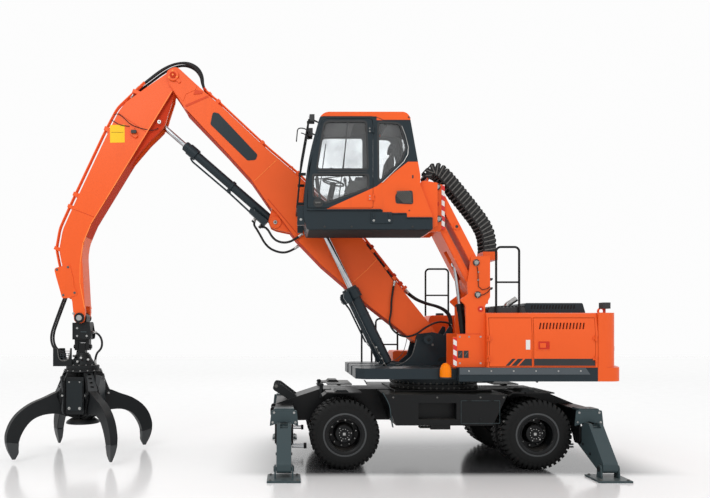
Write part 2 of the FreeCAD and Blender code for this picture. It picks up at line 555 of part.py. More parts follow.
def make_boom():
    tip = BOOM_LENGTH
    side = [(-110, -60, 90), (-95, 190, 100), (180, 228), (1150, 312), (1900, 392), (3440, 335), (4230, 268),
            (5084, 222), (tip - 480, 186), (tip + 95, 150, 120), (tip + 150, -60, 120), (tip - 60, -150, 80),
            (tip - 280, -187), (tip - 500, -228), (4516, -237), (3902, -254), (3340, -345), (3230, -330),
            (2680, -398), (2060, -396), (1150, -307), (60, -150, 60)]
    box = member(side, BOOM_FOOT, BOOM_ANGLE, -BOOM_HALF, BOOM_HALF)
    fork = member([(tip - 440, -500), (tip - 440, -110), (tip - 230, -40), (tip - 230, 500),
                   (tip + 400, 500), (tip + 400, -500)],
                  BOOM_FOOT, BOOM_ANGLE, -ARM_HALF - SIDE_PLAY, ARM_HALF + SIDE_PLAY)
    lug = [(2800, -370), (3020, -520, 60), (3116, -560, 70), (3215, -520, 60), (3330, -330), (2900, -300)]
    parts = [cut(box, fork)]
    for hand in (LEFT, RIGHT):
        parts.append(on_side(member(lug, BOOM_FOOT, BOOM_ANGLE, LUG_HALF, LUG_HALF + 40), hand))
        boss = pin_y(BOOM_ROD_PIN, 95, BOOM_HALF - 5, CYL_Y - CYL_EYE_HALF - SIDE_PLAY - 14)
        parts.append(on_side(boss, hand))
    parts.append(pin_y(ARM_CYL_BASE, 45, -LUG_HALF - 55, LUG_HALF + 55))
    parts.append(pin_y(ARM_PIVOT, ARM_PIN_R, -BOOM_HALF - 20, BOOM_HALF + 20))
    for s0, t0 in ((tip - TIP_CLAMP - 45, 120), (FOOT_CLAMP, 240)):
        parts.append(member([(s0, t0), (s0, t0 + 160), (s0 + 45, t0 + 160), (s0 + 45, t0)],
                            BOOM_FOOT, BOOM_ANGLE, -100, 100))
    boom = fuse(*parts)
    bore = pin_y(BOOM_FOOT, BOOM_PIN_R + RUN, -BOOM_HALF - 1, BOOM_HALF + 1)
    node("boom", cut(boom, bore))


def make_boom_cylinders():
    size = (CYL_R, 50, 95, CYL_PIN_R, CYL_EYE_HALF, 80, 45, CYL_EYE_HALF)
    barrels, rods = [], []
    for side in (LEFT, RIGHT):
        barrel, rod = cylinder_pair(CYL_BASE, BOOM_ROD_PIN, CYL_Y, size, 1490, 420, CYL_EYE_HALF + 12)
        barrels.append(on_side(barrel, side))
        rods.append(on_side(rod, side))
    node("boom_cylinder_barrels", *barrels)
    node("boom_cylinder_rods", *rods)


# ================================================================ arm and its cylinder
ARM_ROD_PIN = along(ARM_PIVOT, ARM_ANGLE, 771, -36)
ARM_END = along(ARM_PIVOT, ARM_ANGLE, ARM_LENGTH, 0)


def make_arm():
    end = ARM_LENGTH
    side = [(-105, 60, 90), (20, 150, 60), (310, 345), (680, 585), (860, 640, 400), (1150, 668), (2350, 750),
            (end - 1300, 783, 500), (end - 960, 723), (end - 766, 629), (end - 200, 210), (end + 95, 60, 70),
            (end + 75, -90, 60), (end - 122, -48), (end - 1100, 395, 900), (end - 1527, 383), (2306, 303),
            (196, -76), (-20, -125, 70)]
    box = member(side, ARM_PIVOT, ARM_ANGLE, -ARM_HALF, ARM_HALF)
    fork = member([(end - 210, -400), (end - 210, 400), (end + 300, 400), (end + 300, -400)],
                  ARM_PIVOT, ARM_ANGLE, -HANGER_HALF - SIDE_PLAY, HANGER_HALF + SIDE_PLAY)
    pocket = member([(420, -400), (420, 150), (1150, 150), (1150, -400)],
                    ARM_PIVOT, ARM_ANGLE, -LUG_HALF, LUG_HALF)
    lug = [(180, -60), (330, -110, 60), (600, -125, 60), (771, -140, 60), (870, -120, 60), (1160, 10, 300),
           (1640, 178), (1560, 260), (300, 100)]
    parts = [cut(box, fork, pocket)]
    parts += [on_side(member(lug, ARM_PIVOT, ARM_ANGLE, LUG_HALF, LUG_HALF + 40), s) for s in (LEFT, RIGHT)]
    parts.append(pin_y(ARM_END, END_PIN_R, -ARM_HALF - 12, ARM_HALF + 12))
    for s0, t0, reach in ((ARM_CLAMP, 440, 170), (end - END_CLAMP - 45, 250, 200)):
        parts.append(member([(s0, t0), (s0, t0 + reach), (s0 + 45, t0 + reach), (s0 + 45, t0)],
                            ARM_PIVOT, ARM_ANGLE, -100, 100))
    bore = pin_y(ARM_PIVOT, ARM_PIN_R + RUN, -ARM_HALF - 1, ARM_HALF + 1)
    node("arm", cut(fuse(*parts), bore))


def make_arm_cylinder():
    size = (73, 45, 85, 45, LUG_HALF - SIDE_PLAY, 72, 38, LUG_HALF - 15)
    barrel, rod = cylinder_pair(ARM_CYL_BASE, ARM_ROD_PIN, 0, size, 1920, 800, LUG_HALF - SIDE_PLAY)
    node("arm_cylinder_barrel", barrel)
    node("arm_cylinder_rod", rod)


# ================================================================ cab riser
TOWER_HIGH = TOWER_LOW + Vec(-23, 0, TOWER_PIN_RISE)
CARRIER_LOW = along(TOWER_LOW, LINK_ANGLE, LINK_LENGTH, 0)
CARRIER_HIGH = along(TOWER_HIGH, LINK_ANGLE, LINK_LENGTH, 0)
CAB_DATUM = Vec(-161.94, 0, 3781.95)    # the cab is drawn with the carrier's lower pin here
CAB_MOVE = CARRIER_LOW - CAB_DATUM
RISER_CYL_BASE = Vec(361, 0, 1620)
CHAIN_HALF = 170.0                      # half the width of the cable chain
CHAIN_LOW, CHAIN_HIGH = 3310.0, 4450.0  # where the cable chain is held: tower top, carrier top
RISER_CYL_EYE = along(TOWER_LOW, LINK_ANGLE, 560, 0)
LINK_IN, LINK_OUT = RISER_IN + RISER_PLATE + SIDE_PLAY, RISER_OUT - RISER_PLATE - SIDE_PLAY
RISER_MID = (LINK_IN + LINK_OUT) / 2


def riser_plates(points):
    return [plate_xz(points, -RISER_OUT, -RISER_OUT + RISER_PLATE),
            plate_xz(points, -RISER_IN - RISER_PLATE, -RISER_IN)]


def make_riser_tower():
    side = [(117, BODY_BOTTOM), (117, 2045), (254, 2045), (250, 2470, 30), (160, 2560, 25),
            (285, 2650), (270, 2800), (335, 3215, 30), (621, 3226), (621, 2600, 40),
            (BODY_FRONT, 2470), (BODY_FRONT, BODY_BOTTOM)]
    parts = riser_plates(side)
    parts.append(block(BODY_FRONT - 35, BODY_FRONT - 10, -RISER_OUT + 5, -RISER_IN - 5, BODY_BOTTOM, 2450))
    parts.append(block(565, 590, -RISER_OUT + 5, -RISER_IN - 5, 2500, 3190))
    parts.append(block(117, BODY_FRONT, -DECK_HALF + 10, -RISER_IN, DECK_TOP, BODY_BOTTOM + 10))
    parts.append(block(565, 790, -RISER_MID - CHAIN_HALF, -RISER_MID + CHAIN_HALF, 3180, CHAIN_LOW - SEAT))
    parts += [pin_y(at, RISER_PIN_R, -RISER_OUT - 12, -RISER_IN) for at in (TOWER_LOW, TOWER_HIGH)]
    parts.append(pin_y(RISER_CYL_BASE, 28, -RISER_OUT + 5, -RISER_IN - 5))
    node("riser_tower", fuse(*parts))


def make_links():
    def link(foot, half, window):
        end = LINK_LENGTH
        body = member([(-62, -half, 30), (-62, half, 30), (end + 62, half, 30), (end + 62, -half, 30)],
                      foot, LINK_ANGLE, -LINK_OUT, -LINK_IN)
        bores = [pin_y(along(foot, LINK_ANGLE, s, 0), RISER_PIN_R + RUN, -LINK_OUT - 1, -LINK_IN + 1)
                 for s in (0, end)]
        return cut(body, *bores, *window)
    slot = member([(300, -100), (300, 100), (800, 100), (800, -100)], TOWER_LOW, LINK_ANGLE,
                  -RISER_MID - 95, -RISER_MID + 95)
    node("riser_lower_link", link(TOWER_LOW, 52, [slot]))
    node("riser_upper_link", link(TOWER_HIGH, 62, []))
    size = (55, 34, 60, 28, 45, 52, 26, 38)
    barrel, rod = cylinder_pair(RISER_CYL_BASE, RISER_CYL_EYE, -RISER_MID, size, 900, 150, 80)
    node("riser_cylinder_barrel", barrel)
    node("riser_cylinder_rod", rod)


def make_cab_carrier():
    back = CARRIER_HIGH.x - CAB_MOVE.x + 75
    side = [(-300, CAB_BASE_LOW), (-300, 4308), (back, 4308), (back, 3640), (back - 40, CAB_BASE_LOW)]
    parts = riser_plates(side)
    parts.append(block(-300, -276, -RISER_OUT + 5, -RISER_IN - 5, CAB_BASE_LOW, 4308))
    parts.append(block(-300, -276, -RISER_MID - CHAIN_HALF, -RISER_MID + CHAIN_HALF, 4290, CHAIN_HIGH - SEAT))
    parts = [part.translated(CAB_MOVE) for part in parts]
    parts += [pin_y(at, RISER_PIN_R, -RISER_OUT - 12, -RISER_IN) for at in (CARRIER_LOW, CARRIER_HIGH)]
    node("cab_carrier", fuse(*parts))


# ================================================================ cab
CAB_BASE_LOW, CAB_FLOOR, CAB_TOP = 3590.0, 3763.0, 5333.0
CAB_SIDE = [(-2212, CAB_FLOOR), (-2185, 4500, 4000), (-1950, CAB_TOP, 160), (-650, CAB_TOP, 120),
            (-483, 4400), (-483, 4250), (-305, 3800), (-305, CAB_FLOOR)]
DOOR = [(-2160, 3905, 30), (-2140, 4500, 3800), (-1925, 5232, 110), (-1195, 5232, 40), (-1180, 5100),
        (-1180, 3905, 30)]
DOOR_GLASS = ([(-2010, 4487, 40), (-1895, 5185, 90), (-1289, 5185, 50), (-1264, 4487, 40)],
              [(-2070, 4398, 30), (-1258, 4398, 30), (-1258, 4206, 20), (-1880, 3990, 30), (-2060, 4090, 30)])
REAR_GLASS = [(-1103, 5172, 40), (-790, 5155, 90), (-700, 4800, 80), (-765, 4620, 60), (-1096, 4298, 30)]
RIGHT_GLASS = [(-2050, 4120, 40), (-2010, 4600), (-1895, 5185, 90), (-1240, 5185, 40), (-1240, 4120, 40)]
DOOR_HINGES = (4060, 5060)
PANE = (20, 28)                       # depths of a pane's two faces in the wall


def cab_layer(depth):
    """Solid inside the cab's outer faces, drawn in by the depth given."""
    wire = outline(CAB_SIDE, lambda p: Vec(p.x, -CAB_OUT + depth, p.y))
    if depth:
        wire = wire.makeOffset2D(-depth)
    return Part.Face(wire).extrude(Vec(0, CAB_OUT - CAB_IN - 2 * depth, 0))


def cab_openings():
    near, far = -CAB_OUT - 5, -CAB_IN + 5
    inward = CAB_WALL + 10
    left = plate_xz(REAR_GLASS, near, near + inward)
    right = [plate_xz(points, far - inward, far) for points in (RIGHT_GLASS, REAR_GLASS)]
    front = plate_xz([(-2330, 3990), (-2330, 4500), (-2060, 5215), (-1890, 5215), (-2090, 4500),
                      (-2140, 3990)], -CAB_OUT + 75, -CAB_IN - 75)
    rear = plate_xz([(-800, 4480), (-800, 5130), (-350, 5130), (-350, 4480)], -CAB_OUT + 110, -CAB_IN - 110)
    roof = block(-1520, -960, -CAB_OUT + 200, -CAB_IN - 200, CAB_TOP - CAB_WALL - 5, CAB_TOP + 5)
    return [left, *right, front, rear, roof]


def make_cab():
    near = -CAB_OUT - 5
    wall = cut(cab_layer(0), cab_layer(CAB_WALL))
    glass = cut(cab_layer(PANE[0]), cab_layer(PANE[1]))
    openings = cab_openings()
    doorway = plate_xz(DOOR, near, near + CAB_WALL + 10)
    base = plate_xz([(-2205, CAB_FLOOR), (-2160, CAB_BASE_LOW, 30), (-300, CAB_BASE_LOW), (-300, CAB_FLOOR)],
                    -CAB_OUT, -CAB_IN)
    panes = [solid for hole in openings for solid in glass.common(hole).Solids]
    node("cab_windows", *[pane.translated(CAB_MOVE) for pane in panes])
    leaf_wire = outline(DOOR, lambda p: Vec(p.x, near, p.y)).makeOffset2D(-PANEL_GAP)
    leaf = wall.common(Part.Face(leaf_wire).extrude(Vec(0, CAB_WALL + 10, 0)))
    lights = [plate_xz(points, near, near + CAB_WALL + 10) for points in DOOR_GLASS]
    hinge_x = DOOR[-1][0] - PANEL_GAP / 2
    frame, fixed = hung_door(cut(leaf, *lights), hinge_x, CAB_OUT, DOOR_HINGES, -1)
    door = [frame] + [glass.common(light) for light in lights]
    node("cab_door", *[piece.translated(CAB_MOVE) for piece in door])
    shell = fuse(cut(fuse(wall, base), doorway, *openings), *fixed)
    node("cab_shell", shell.translated(CAB_MOVE))


def make_cab_interior():
    middle, floor = -(CAB_OUT + CAB_IN) / 2, CAB_FLOOR + CAB_WALL
    seat = [block(-1400, -960, middle - 170, middle + 170, floor, 4060),
            block(-1450, -930, middle - 245, middle + 245, 4060, 4180),
            plate_xz([(-1000, 4180), (-900, 4860, 40), (-790, 4840, 40), (-880, 4180)],
                     middle - 235, middle + 235)]
    consoles = [block(-1560, -1050, middle + s0, middle + s1, floor, 4330)
                for s0, s1 in ((-390, -265), (265, 390))]
    column = fuse(block(-1940, -1770, middle - 80, middle + 80, floor, floor + 50),
                  bar(Vec(-1857, middle, floor + 25), Vec(-1740, middle, 4380), 45),
                  bar(Vec(-1750, middle, 4340), Vec(-1738, middle, 4386), 180))
    node("cab_interior", *[piece.translated(CAB_MOVE) for piece in (*seat, *consoles, column)])


# ================================================================ grapple
GRAPPLE_X = ARM_END.x
CROSS_PIN_Z = ARM_END.z - HANGER_DROP
BODY_R, STUB_R = 300.0, 70.0
TINE_HINGE_R, TINE_HINGE_Z = 290.0, 760.0
TINE_EYE_R, TINE_EYE_Z = 400.0, 1030.0
ROD_TOP_R, ROD_TOP_Z = 165.0, 1385.0
TINE_ROD_R = 36.0
HEAD_LOW = GRAPPLE_TOP + 55           # turning joint between the grapple and its head
HEAD_SHELF = GRAPPLE_TOP + 130        # shelf where the grapple's hoses end


def make_hanger():
    top = ARM_END
    eye = pin_y(top, 95, -HANGER_HALF, HANGER_HALF)
    neck = block(top.x - 146, top.x + 146, -HANGER_HALF, HANGER_HALF, CROSS_PIN_Z + 120, top.z - 78)
    waist = block(top.x - 90, top.x + 90, -HANGER_HALF, HANGER_HALF, CROSS_PIN_Z + 110, top.z)
    lugs = [block(top.x + s * 90 - 30, top.x + s * 90 + 30, -70, 70, CROSS_PIN_Z - 60, CROSS_PIN_Z + 125)
            for s in (-1, 1)]
    pin = Part.makeCylinder(35, 300, Vec(top.x - 150, 0, CROSS_PIN_Z), AXIS_X)
    bore = pin_y(top, END_PIN_R + RUN, -HANGER_HALF - 1, HANGER_HALF + 1)
    node("grapple_hanger", cut(fuse(eye, neck, waist, *lugs, pin), bore))


def make_rotator_head():
    x, z = GRAPPLE_X, CROSS_PIN_Z
    tongue = block(x - 54, x + 54, -65, 65, z - 140, z + 60)
    bell = Part.makeCone(185, 120, z - 130 - HEAD_SHELF + 20, Vec(x, 0, HEAD_SHELF - 20), AXIS_Z)
    flange = Part.makeCylinder(240, 60, Vec(x, 0, HEAD_LOW), AXIS_Z)
    guard = block(x - 430, x - 130, -90, 90, HEAD_SHELF - 30, HEAD_SHELF)
    bore = Part.makeCylinder(35 + RUN, 120, Vec(x - 60, 0, z), AXIS_X)
    socket = Part.makeCylinder(STUB_R + SEAT, 45, Vec(x, 0, GRAPPLE_TOP + 50), AXIS_Z)
    node("rotator_head", cut(fuse(tongue, bell, flange, guard), bore, socket))


def polar(radius, heading, z):
    turn = math.radians(heading)
    return Vec(GRAPPLE_X + radius * math.cos(turn), radius * math.sin(turn), z)


def radial_plate(points, heading, half):
    """Plate standing on a radius of the grapple: points are (radius, z)."""
    turn = math.radians(heading)
    square = Vec(-math.sin(turn), math.cos(turn), 0)
    return prism(points, lambda p: polar(p.x, heading, p.y) - square * half, square * 2 * half)


HEADINGS = [TINE_TURN + 360.0 * i / TINE_COUNT for i in range(TINE_COUNT)]


def make_grapple():
    x = GRAPPLE_X
    post = Part.makeCylinder(150, GRAPPLE_TOP - GRAPPLE_LOW - 40, Vec(x, 0, GRAPPLE_LOW + 20), AXIS_Z)
    top = Part.makeCylinder(BODY_R, 50, Vec(x, 0, GRAPPLE_TOP), AXIS_Z)
    low = Part.makeCylinder(165, 40, Vec(x, 0, GRAPPLE_LOW), AXIS_Z)
    stub = Part.makeCylinder(STUB_R, 40, Vec(x, 0, GRAPPLE_TOP + 50), AXIS_Z)
    parts, bores = [post, top, low, stub], []
    for heading in HEADINGS:
        turn = math.radians(heading)
        square = Vec(-math.sin(turn), math.cos(turn), 0)
        cheek = [(100, TINE_HINGE_Z - 150), (100, GRAPPLE_TOP), (BODY_R, GRAPPLE_TOP),
                 (TINE_EYE_R + 45, TINE_EYE_Z + 20, 30), (TINE_EYE_R + 30, TINE_EYE_Z - 90, 30),
                 (TINE_HINGE_R + 75, TINE_HINGE_Z + 40, 50), (TINE_HINGE_R + 75, TINE_HINGE_Z - 50, 50),
                 (TINE_HINGE_R - 30, TINE_HINGE_Z - 90, 50)]
        for s in (-1, 1):
            inner = TINE_W / 2 + SIDE_PLAY
            ear = radial_plate(cheek, heading, 15)
            ear.translate(square * s * (inner + 15))
            parts.append(ear)
        hinge = polar(TINE_HINGE_R, heading, TINE_HINGE_Z)
        span = TINE_W / 2 + SIDE_PLAY + 34
        parts.append(Part.makeCylinder(32, 2 * span, hinge - square * span, square))
        upper, lower = polar(ROD_TOP_R, heading, ROD_TOP_Z), polar(TINE_EYE_R, heading, TINE_EYE_Z)
        line = (lower - upper).normalize()
        parts.append(bar(upper - line * 35, upper + line * 330, 62))
        bores.append(bar(upper - line * 12, upper + line * 400, TINE_ROD_R + RUN))
    node("grapple_body", cut(fuse(*parts), *bores))
    tine = [(TINE_HINGE_R - 55, TINE_HINGE_Z - 58, 45), (TINE_HINGE_R - 55, TINE_HINGE_Z + 60, 40),
            (TINE_EYE_R - 60, TINE_EYE_Z - 90), (TINE_EYE_R - 42, TINE_EYE_Z + 45, 35),
            (TINE_EYE_R + 55, TINE_EYE_Z + 30, 40), (880, 920, 1000), (1190, 715, 450), (1262, 430, 500),
            (1205, 165, 700), (1148, TIP_GAP, 10), (1095, TIP_GAP, 10), (1062, 175, 60), (1068, 330, 450),
            (985, 570, 350), (740, 725, 300), (480, 745, 250), (340, 680, 60)]
    for index, heading in enumerate(HEADINGS):
        turn = math.radians(heading)
        square = Vec(-math.sin(turn), math.cos(turn), 0)
        claw = radial_plate(tine, heading, TINE_W / 2)
        low, high = TINE_EYE_Z - 115, TINE_EYE_Z + 100
        slot = radial_plate([(TINE_EYE_R - 130, low), (TINE_EYE_R - 130, high),
                             (TINE_EYE_R + 130, high), (TINE_EYE_R + 130, low)], heading, 41)
        hinge = polar(TINE_HINGE_R, heading, TINE_HINGE_Z)
        bore = Part.makeCylinder(32 + RUN, TINE_W + 2, hinge - square * (TINE_W / 2 + 1), square)
        node("tine_%d" % (index + 1), cut(claw, slot, bore))
        upper, lower = polar(ROD_TOP_R, heading, ROD_TOP_Z), polar(TINE_EYE_R, heading, TINE_EYE_Z)
        line = (lower - upper).normalize()
        rod = fuse(bar(upper + line * 45, lower - line * 20, TINE_ROD_R),
                   Part.makeCylinder(42, 60, lower - square * 30, square))
        node("tine_rod_%d" % (index + 1), rod)


# ================================================================ rails, hoses, chain
def make_handrails():
    r, bend = 17, 70
    left = BODY_TOP
    near_y = -DECK_HALF
    walkway = tube([(725, near_y, left), (725, near_y, 3365), (1075, near_y, 3365),
                    (1075, near_y, left)], r, bend)
    bar_near = bar(Vec(725, near_y, 2830), Vec(1075, near_y, 2830), r - 3)
    box = block(760, 1200, -1000, 1000, left, left + 110)
    far_y = DECK_HALF - 30
    low = tube([(-1083, far_y, DECK_TOP), (-1083, far_y, 2290), (-900, far_y, 2290),
                (-900, far_y, DECK_TOP)], r, bend)
    step = tube([(-823, far_y, DECK_TOP), (-823, far_y, 2302), (-425, far_y, 2302),
                 (-425, far_y, 1730)], r, bend)
    tank_y = far_y - 40
    high = tube([(82, tank_y, 2355), (82, tank_y, 3213), (500, tank_y, 3213), (500, tank_y, 2355)],
                r, bend)
    bar_far = bar(Vec(82, tank_y, 2731), Vec(500, tank_y, 2731), r - 3)
    stub = bar(Vec(-823, far_y, 1830), Vec(-425, far_y, 1830), r - 3)
    node("handrails", fuse(walkway, bar_near), box, low, fuse(step, stub), fuse(high, bar_far))


def make_hoses():
    def up(s, t, y):
        return tuple(along(BOOM_FOOT, BOOM_ANGLE, s, t, y))

    def down(s, t, y):
        return tuple(along(ARM_PIVOT, ARM_ANGLE, s, t, y))
    tip, end = BOOM_LENGTH, ARM_LENGTH
    loops = []
    for y, rise in ((-60, 0), (0, 40), (60, 0)):
        loops.append(tube([up(tip - TIP_CLAMP, 240, y), up(tip - 420, 240, y), up(tip - 240, 365 + rise, y),
                           up(tip - 50, 385 + rise, y), up(tip + 135, 280 + rise, y),
                           up(tip + 250 + rise, 40, y), down(235, 440 + rise, y), down(400, 560, y),
                           down(ARM_CLAMP, 560, y)], 20))
    node("boom_tip_hoses", *loops)
    foot = []
    for y in (-60, 60):
        foot.append(tube([up(FOOT_CLAMP, 350, y), up(650, 350, y), up(430, 430, y), (140, y, 2480),
                          (290, y, 2350), (300, y, 2120), (300, y, MANIFOLD_TOP)], 20))
    node("boom_foot_hoses", *foot)
    grapple = []
    x = GRAPPLE_X
    for y in (-60, 60):
        grapple.append(tube([down(end - END_CLAMP, 400, y), down(end - 220, 400, y), (x - 440, y, 2260),
                             (x - 530, y, 1990), (x - 480, y, 1780), (x - 310, y, 1700),
                             (x - 310, y, HEAD_SHELF)], 18))
    grapple.append(tube([(x + 146, 0, 2060), (x + 235, 0, 2060), (x + 320, 0, 1950), (x + 320, 0, 1790),
                         (x + 205, 0, 1690), (x + 205, 0, HEAD_LOW + 60)], 18))
    node("grapple_hoses", *grapple)
    def top(px, pz, *rounding):
        return (px + CAB_MOVE.x, pz + CAB_MOVE.z, *rounding)
    chain = plate_xz([top(-330, CHAIN_HIGH), top(-310, 4560, 60), top(-171, 4725, 90), top(40, 4617, 200),
                      (752, 3670, 150), (782, CHAIN_LOW), (564, CHAIN_LOW), (564, 3466, 120),
                      top(64, 4202), top(-130, 4410, 60), top(-226, CHAIN_HIGH)],
                     -RISER_MID - CHAIN_HALF, -RISER_MID + CHAIN_HALF)
    node("cable_chain", chain)


# ================================================================ build and export
make_chassis()
make_side_boxes()
make_axles()
node("left_knuckle", make_knuckle(LEFT))
node("right_knuckle", make_knuckle(RIGHT))
for end, axle_x, stab_x in (("front", FRONT_AXLE_X, STAB_FRONT_X), ("rear", REAR_AXLE_X, STAB_REAR_X)):
    for word, side in (("left", LEFT), ("right", RIGHT)):
        rim, tyres = make_wheels(axle_x, side)
        node("%s_%s_rim" % (end, word), rim)
        node("%s_%s_tyres" % (end, word), *tyres)
        node("%s_%s_leg" % (end, word), make_leg(stab_x, side))
        node("%s_%s_pad" % (end, word), make_pad(stab_x, side))
make_revolving_frame()
make_counterweight()
make_body()
make_engine_hood()
make_boom()
make_boom_cylinders()
make_arm()
make_arm_cylinder()
make_riser_tower()
make_links()
make_cab_carrier()
make_cab()
make_cab_interior()
make_hanger()
make_rotator_head()
make_grapple()
make_handrails()
make_hoses()

WHOLE = Part.makeCompound([solid for solids in NODES.values() for solid in solids])
SPACE = WHOLE.optimalBoundingBox(True, False)
SHIFT = Vec(-SPACE.Center.x, -SPACE.Center.y, -SPACE.ZMin)

os.makedirs("parts", exist_ok=True)
for name, solids in NODES.items():
    shape = Part.makeCompound(solids) if len(solids) > 1 else solids[0]
    shape = shape.translated(SHIFT)
    shape.exportStep("parts/%s.step" % name)
print("%d nodes, size %.0f x %.0f x %.0f, shift %.1f %.1f %.1f"
      % (len(NODES), SPACE.XLength, SPACE.YLength, SPACE.ZLength, SHIFT.x, SHIFT.y, SHIFT.z))
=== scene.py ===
"""Looks of the wheeled material handler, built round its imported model.

Metres, in the model's own frame: -X is forwards, +Y the side away from the cab, +Z up.
Places come from the model's joints and from the boxes of its nodes; W() takes X from the
slew axis, which is what the machine's own sizes are counted from.
"""
import json
import math

import bmesh
import bpy
from mathutils import Matrix, Vector


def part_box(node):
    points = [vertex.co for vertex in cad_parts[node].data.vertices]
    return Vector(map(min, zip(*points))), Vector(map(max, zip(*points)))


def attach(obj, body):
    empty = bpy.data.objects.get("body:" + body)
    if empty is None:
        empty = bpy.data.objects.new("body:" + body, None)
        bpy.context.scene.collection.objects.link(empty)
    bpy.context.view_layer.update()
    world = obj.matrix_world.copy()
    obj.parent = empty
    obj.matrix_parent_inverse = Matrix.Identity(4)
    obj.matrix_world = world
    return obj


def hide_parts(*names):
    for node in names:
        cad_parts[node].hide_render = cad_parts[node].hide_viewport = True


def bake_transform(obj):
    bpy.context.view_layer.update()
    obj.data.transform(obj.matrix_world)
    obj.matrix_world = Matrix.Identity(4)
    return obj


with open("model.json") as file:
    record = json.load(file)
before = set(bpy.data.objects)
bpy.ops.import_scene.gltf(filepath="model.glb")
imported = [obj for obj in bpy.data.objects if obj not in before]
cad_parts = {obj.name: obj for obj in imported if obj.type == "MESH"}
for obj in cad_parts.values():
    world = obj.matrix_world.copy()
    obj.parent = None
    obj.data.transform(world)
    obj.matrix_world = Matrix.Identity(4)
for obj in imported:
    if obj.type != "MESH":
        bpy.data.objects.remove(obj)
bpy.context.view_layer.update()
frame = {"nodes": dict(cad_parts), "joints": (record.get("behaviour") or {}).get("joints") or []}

AT = {joint["name"]: Vector(joint["pos_m"]) for joint in frame["joints"] if "pos_m" in joint}
SLEW_X = AT["slew"].x
LEFT, RIGHT = -1, 1
UP, SIDE, AHEAD = Vector((0, 0, 1)), Vector((0, 1, 0)), Vector((-1, 0, 0))


def W(x, y, z):
    """A place in the model's frame, its x counted from the slew axis."""
    return Vector((x + SLEW_X, y, z))


# ================================================================ materials
class Field:
    """A number that varies over a surface, made of Math nodes."""
    def __init__(self, tree, socket):
        self.tree, self.socket = tree, socket

    def math(self, operation, other=None):
        node = self.tree.nodes.new("ShaderNodeMath")
        node.operation = operation
        self.tree.links.new(self.socket, node.inputs[0])
        if isinstance(other, Field):
            self.tree.links.new(other.socket, node.inputs[1])
        elif other is not None:
            node.inputs[1].default_value = other
        return Field(self.tree, node.outputs[0])

    def __add__(self, other):
        return self.math("ADD", other)

    def __sub__(self, other):
        return self.math("SUBTRACT", other)

    def __mul__(self, other):
        return self.math("MULTIPLY", other)

    def __gt__(self, other):
        return self.math("GREATER_THAN", other)

    def __lt__(self, other):
        return self.math("LESS_THAN", other)

    def both(self, other):
        return self.math("MINIMUM", other)

    def either(self, other):
        return self.math("MAXIMUM", other)

    def ramp(self, low, high):
        """0 below low, 1 above high, smooth between."""
        node = self.tree.nodes.new("ShaderNodeMapRange")
        node.interpolation_type = "SMOOTHSTEP"
        node.inputs["From Min"].default_value, node.inputs["From Max"].default_value = low, high
        self.tree.links.new(self.socket, node.inputs["Value"])
        return Field(self.tree, node.outputs["Result"])


class Finish:
    """A material under construction."""
    def __init__(self, name):
        self.material = bpy.data.materials.new(name)
        self.material.use_nodes = True
        self.tree = self.material.node_tree
        self.shader = self.tree.nodes["Principled BSDF"]
        place = self.tree.nodes.new("ShaderNodeTexCoord")
        self.place = place.outputs["Object"]
        split = self.tree.nodes.new("ShaderNodeSeparateXYZ")
        self.tree.links.new(self.place, split.inputs[0])
        self.x, self.y, self.z = [Field(self.tree, output) for output in split.outputs]

    def noise(self, scale, detail=4.0, stretch=(1, 1, 1)):
        mapping = self.tree.nodes.new("ShaderNodeMapping")
        mapping.inputs["Scale"].default_value = stretch
        self.tree.links.new(self.place, mapping.inputs["Vector"])
        node = self.tree.nodes.new("ShaderNodeTexNoise")
        node.inputs["Scale"].default_value, node.inputs["Detail"].default_value = scale, detail
        self.tree.links.new(mapping.outputs[0], node.inputs["Vector"])
        return Field(self.tree, node.outputs[0])

    def facing_up(self):
        node = self.tree.nodes.new("ShaderNodeNewGeometry")
        split = self.tree.nodes.new("ShaderNodeSeparateXYZ")
        self.tree.links.new(node.outputs["Normal"], split.inputs[0])
        return Field(self.tree, split.outputs[2])

    def edges(self, radius):
        """1 on outside edges, where the paint wears."""
        bevel = self.tree.nodes.new("ShaderNodeBevel")
        bevel.samples = 4
        bevel.inputs["Radius"].default_value = radius
        plain = self.tree.nodes.new("ShaderNodeNewGeometry")
        dot = self.tree.nodes.new("ShaderNodeVectorMath")
        dot.operation = "DOT_PRODUCT"
        self.tree.links.new(bevel.outputs[0], dot.inputs[0])
        self.tree.links.new(plain.outputs["Normal"], dot.inputs[1])
        return Field(self.tree, dot.outputs["Value"]).math("MULTIPLY", -1) + 1.0

    def mix(self, below, above, factor):
        """Two colours, or two colour sockets, by a field."""
        node = self.tree.nodes.new("ShaderNodeMix")
        node.data_type = "RGBA"
        for value, socket in ((below, node.inputs[6]), (above, node.inputs[7])):
            if isinstance(value, (tuple, list)):
                socket.default_value = (*value, 1)
            else:
                self.tree.links.new(value, socket)
        self.tree.links.new(factor.socket, node.inputs[0])
        return node.outputs[2]

    def colour(self, value):
        if isinstance(value, (tuple, list)):
            self.shader.inputs["Base Color"].default_value = (*value, 1)
        else:
            self.tree.links.new(value, self.shader.inputs["Base Color"])

    def rough(self, field):
        self.tree.links.new(field.socket, self.shader.inputs["Roughness"])

    def bump(self, field, strength, distance=0.002):
        node = self.tree.nodes.new("ShaderNodeBump")
        node.inputs["Strength"].default_value, node.inputs["Distance"].default_value = strength, distance
        self.tree.links.new(field.socket, node.inputs["Height"])
        self.tree.links.new(node.outputs[0], self.shader.inputs["Normal"])

    def set(self, **values):
        for name, value in values.items():
            self.shader.inputs[name.replace("_", " ")].default_value = value
        return self


def shade(colour, factor):
    """A colour made lighter or darker."""
    return tuple(min(1.0, part * factor) for part in colour)


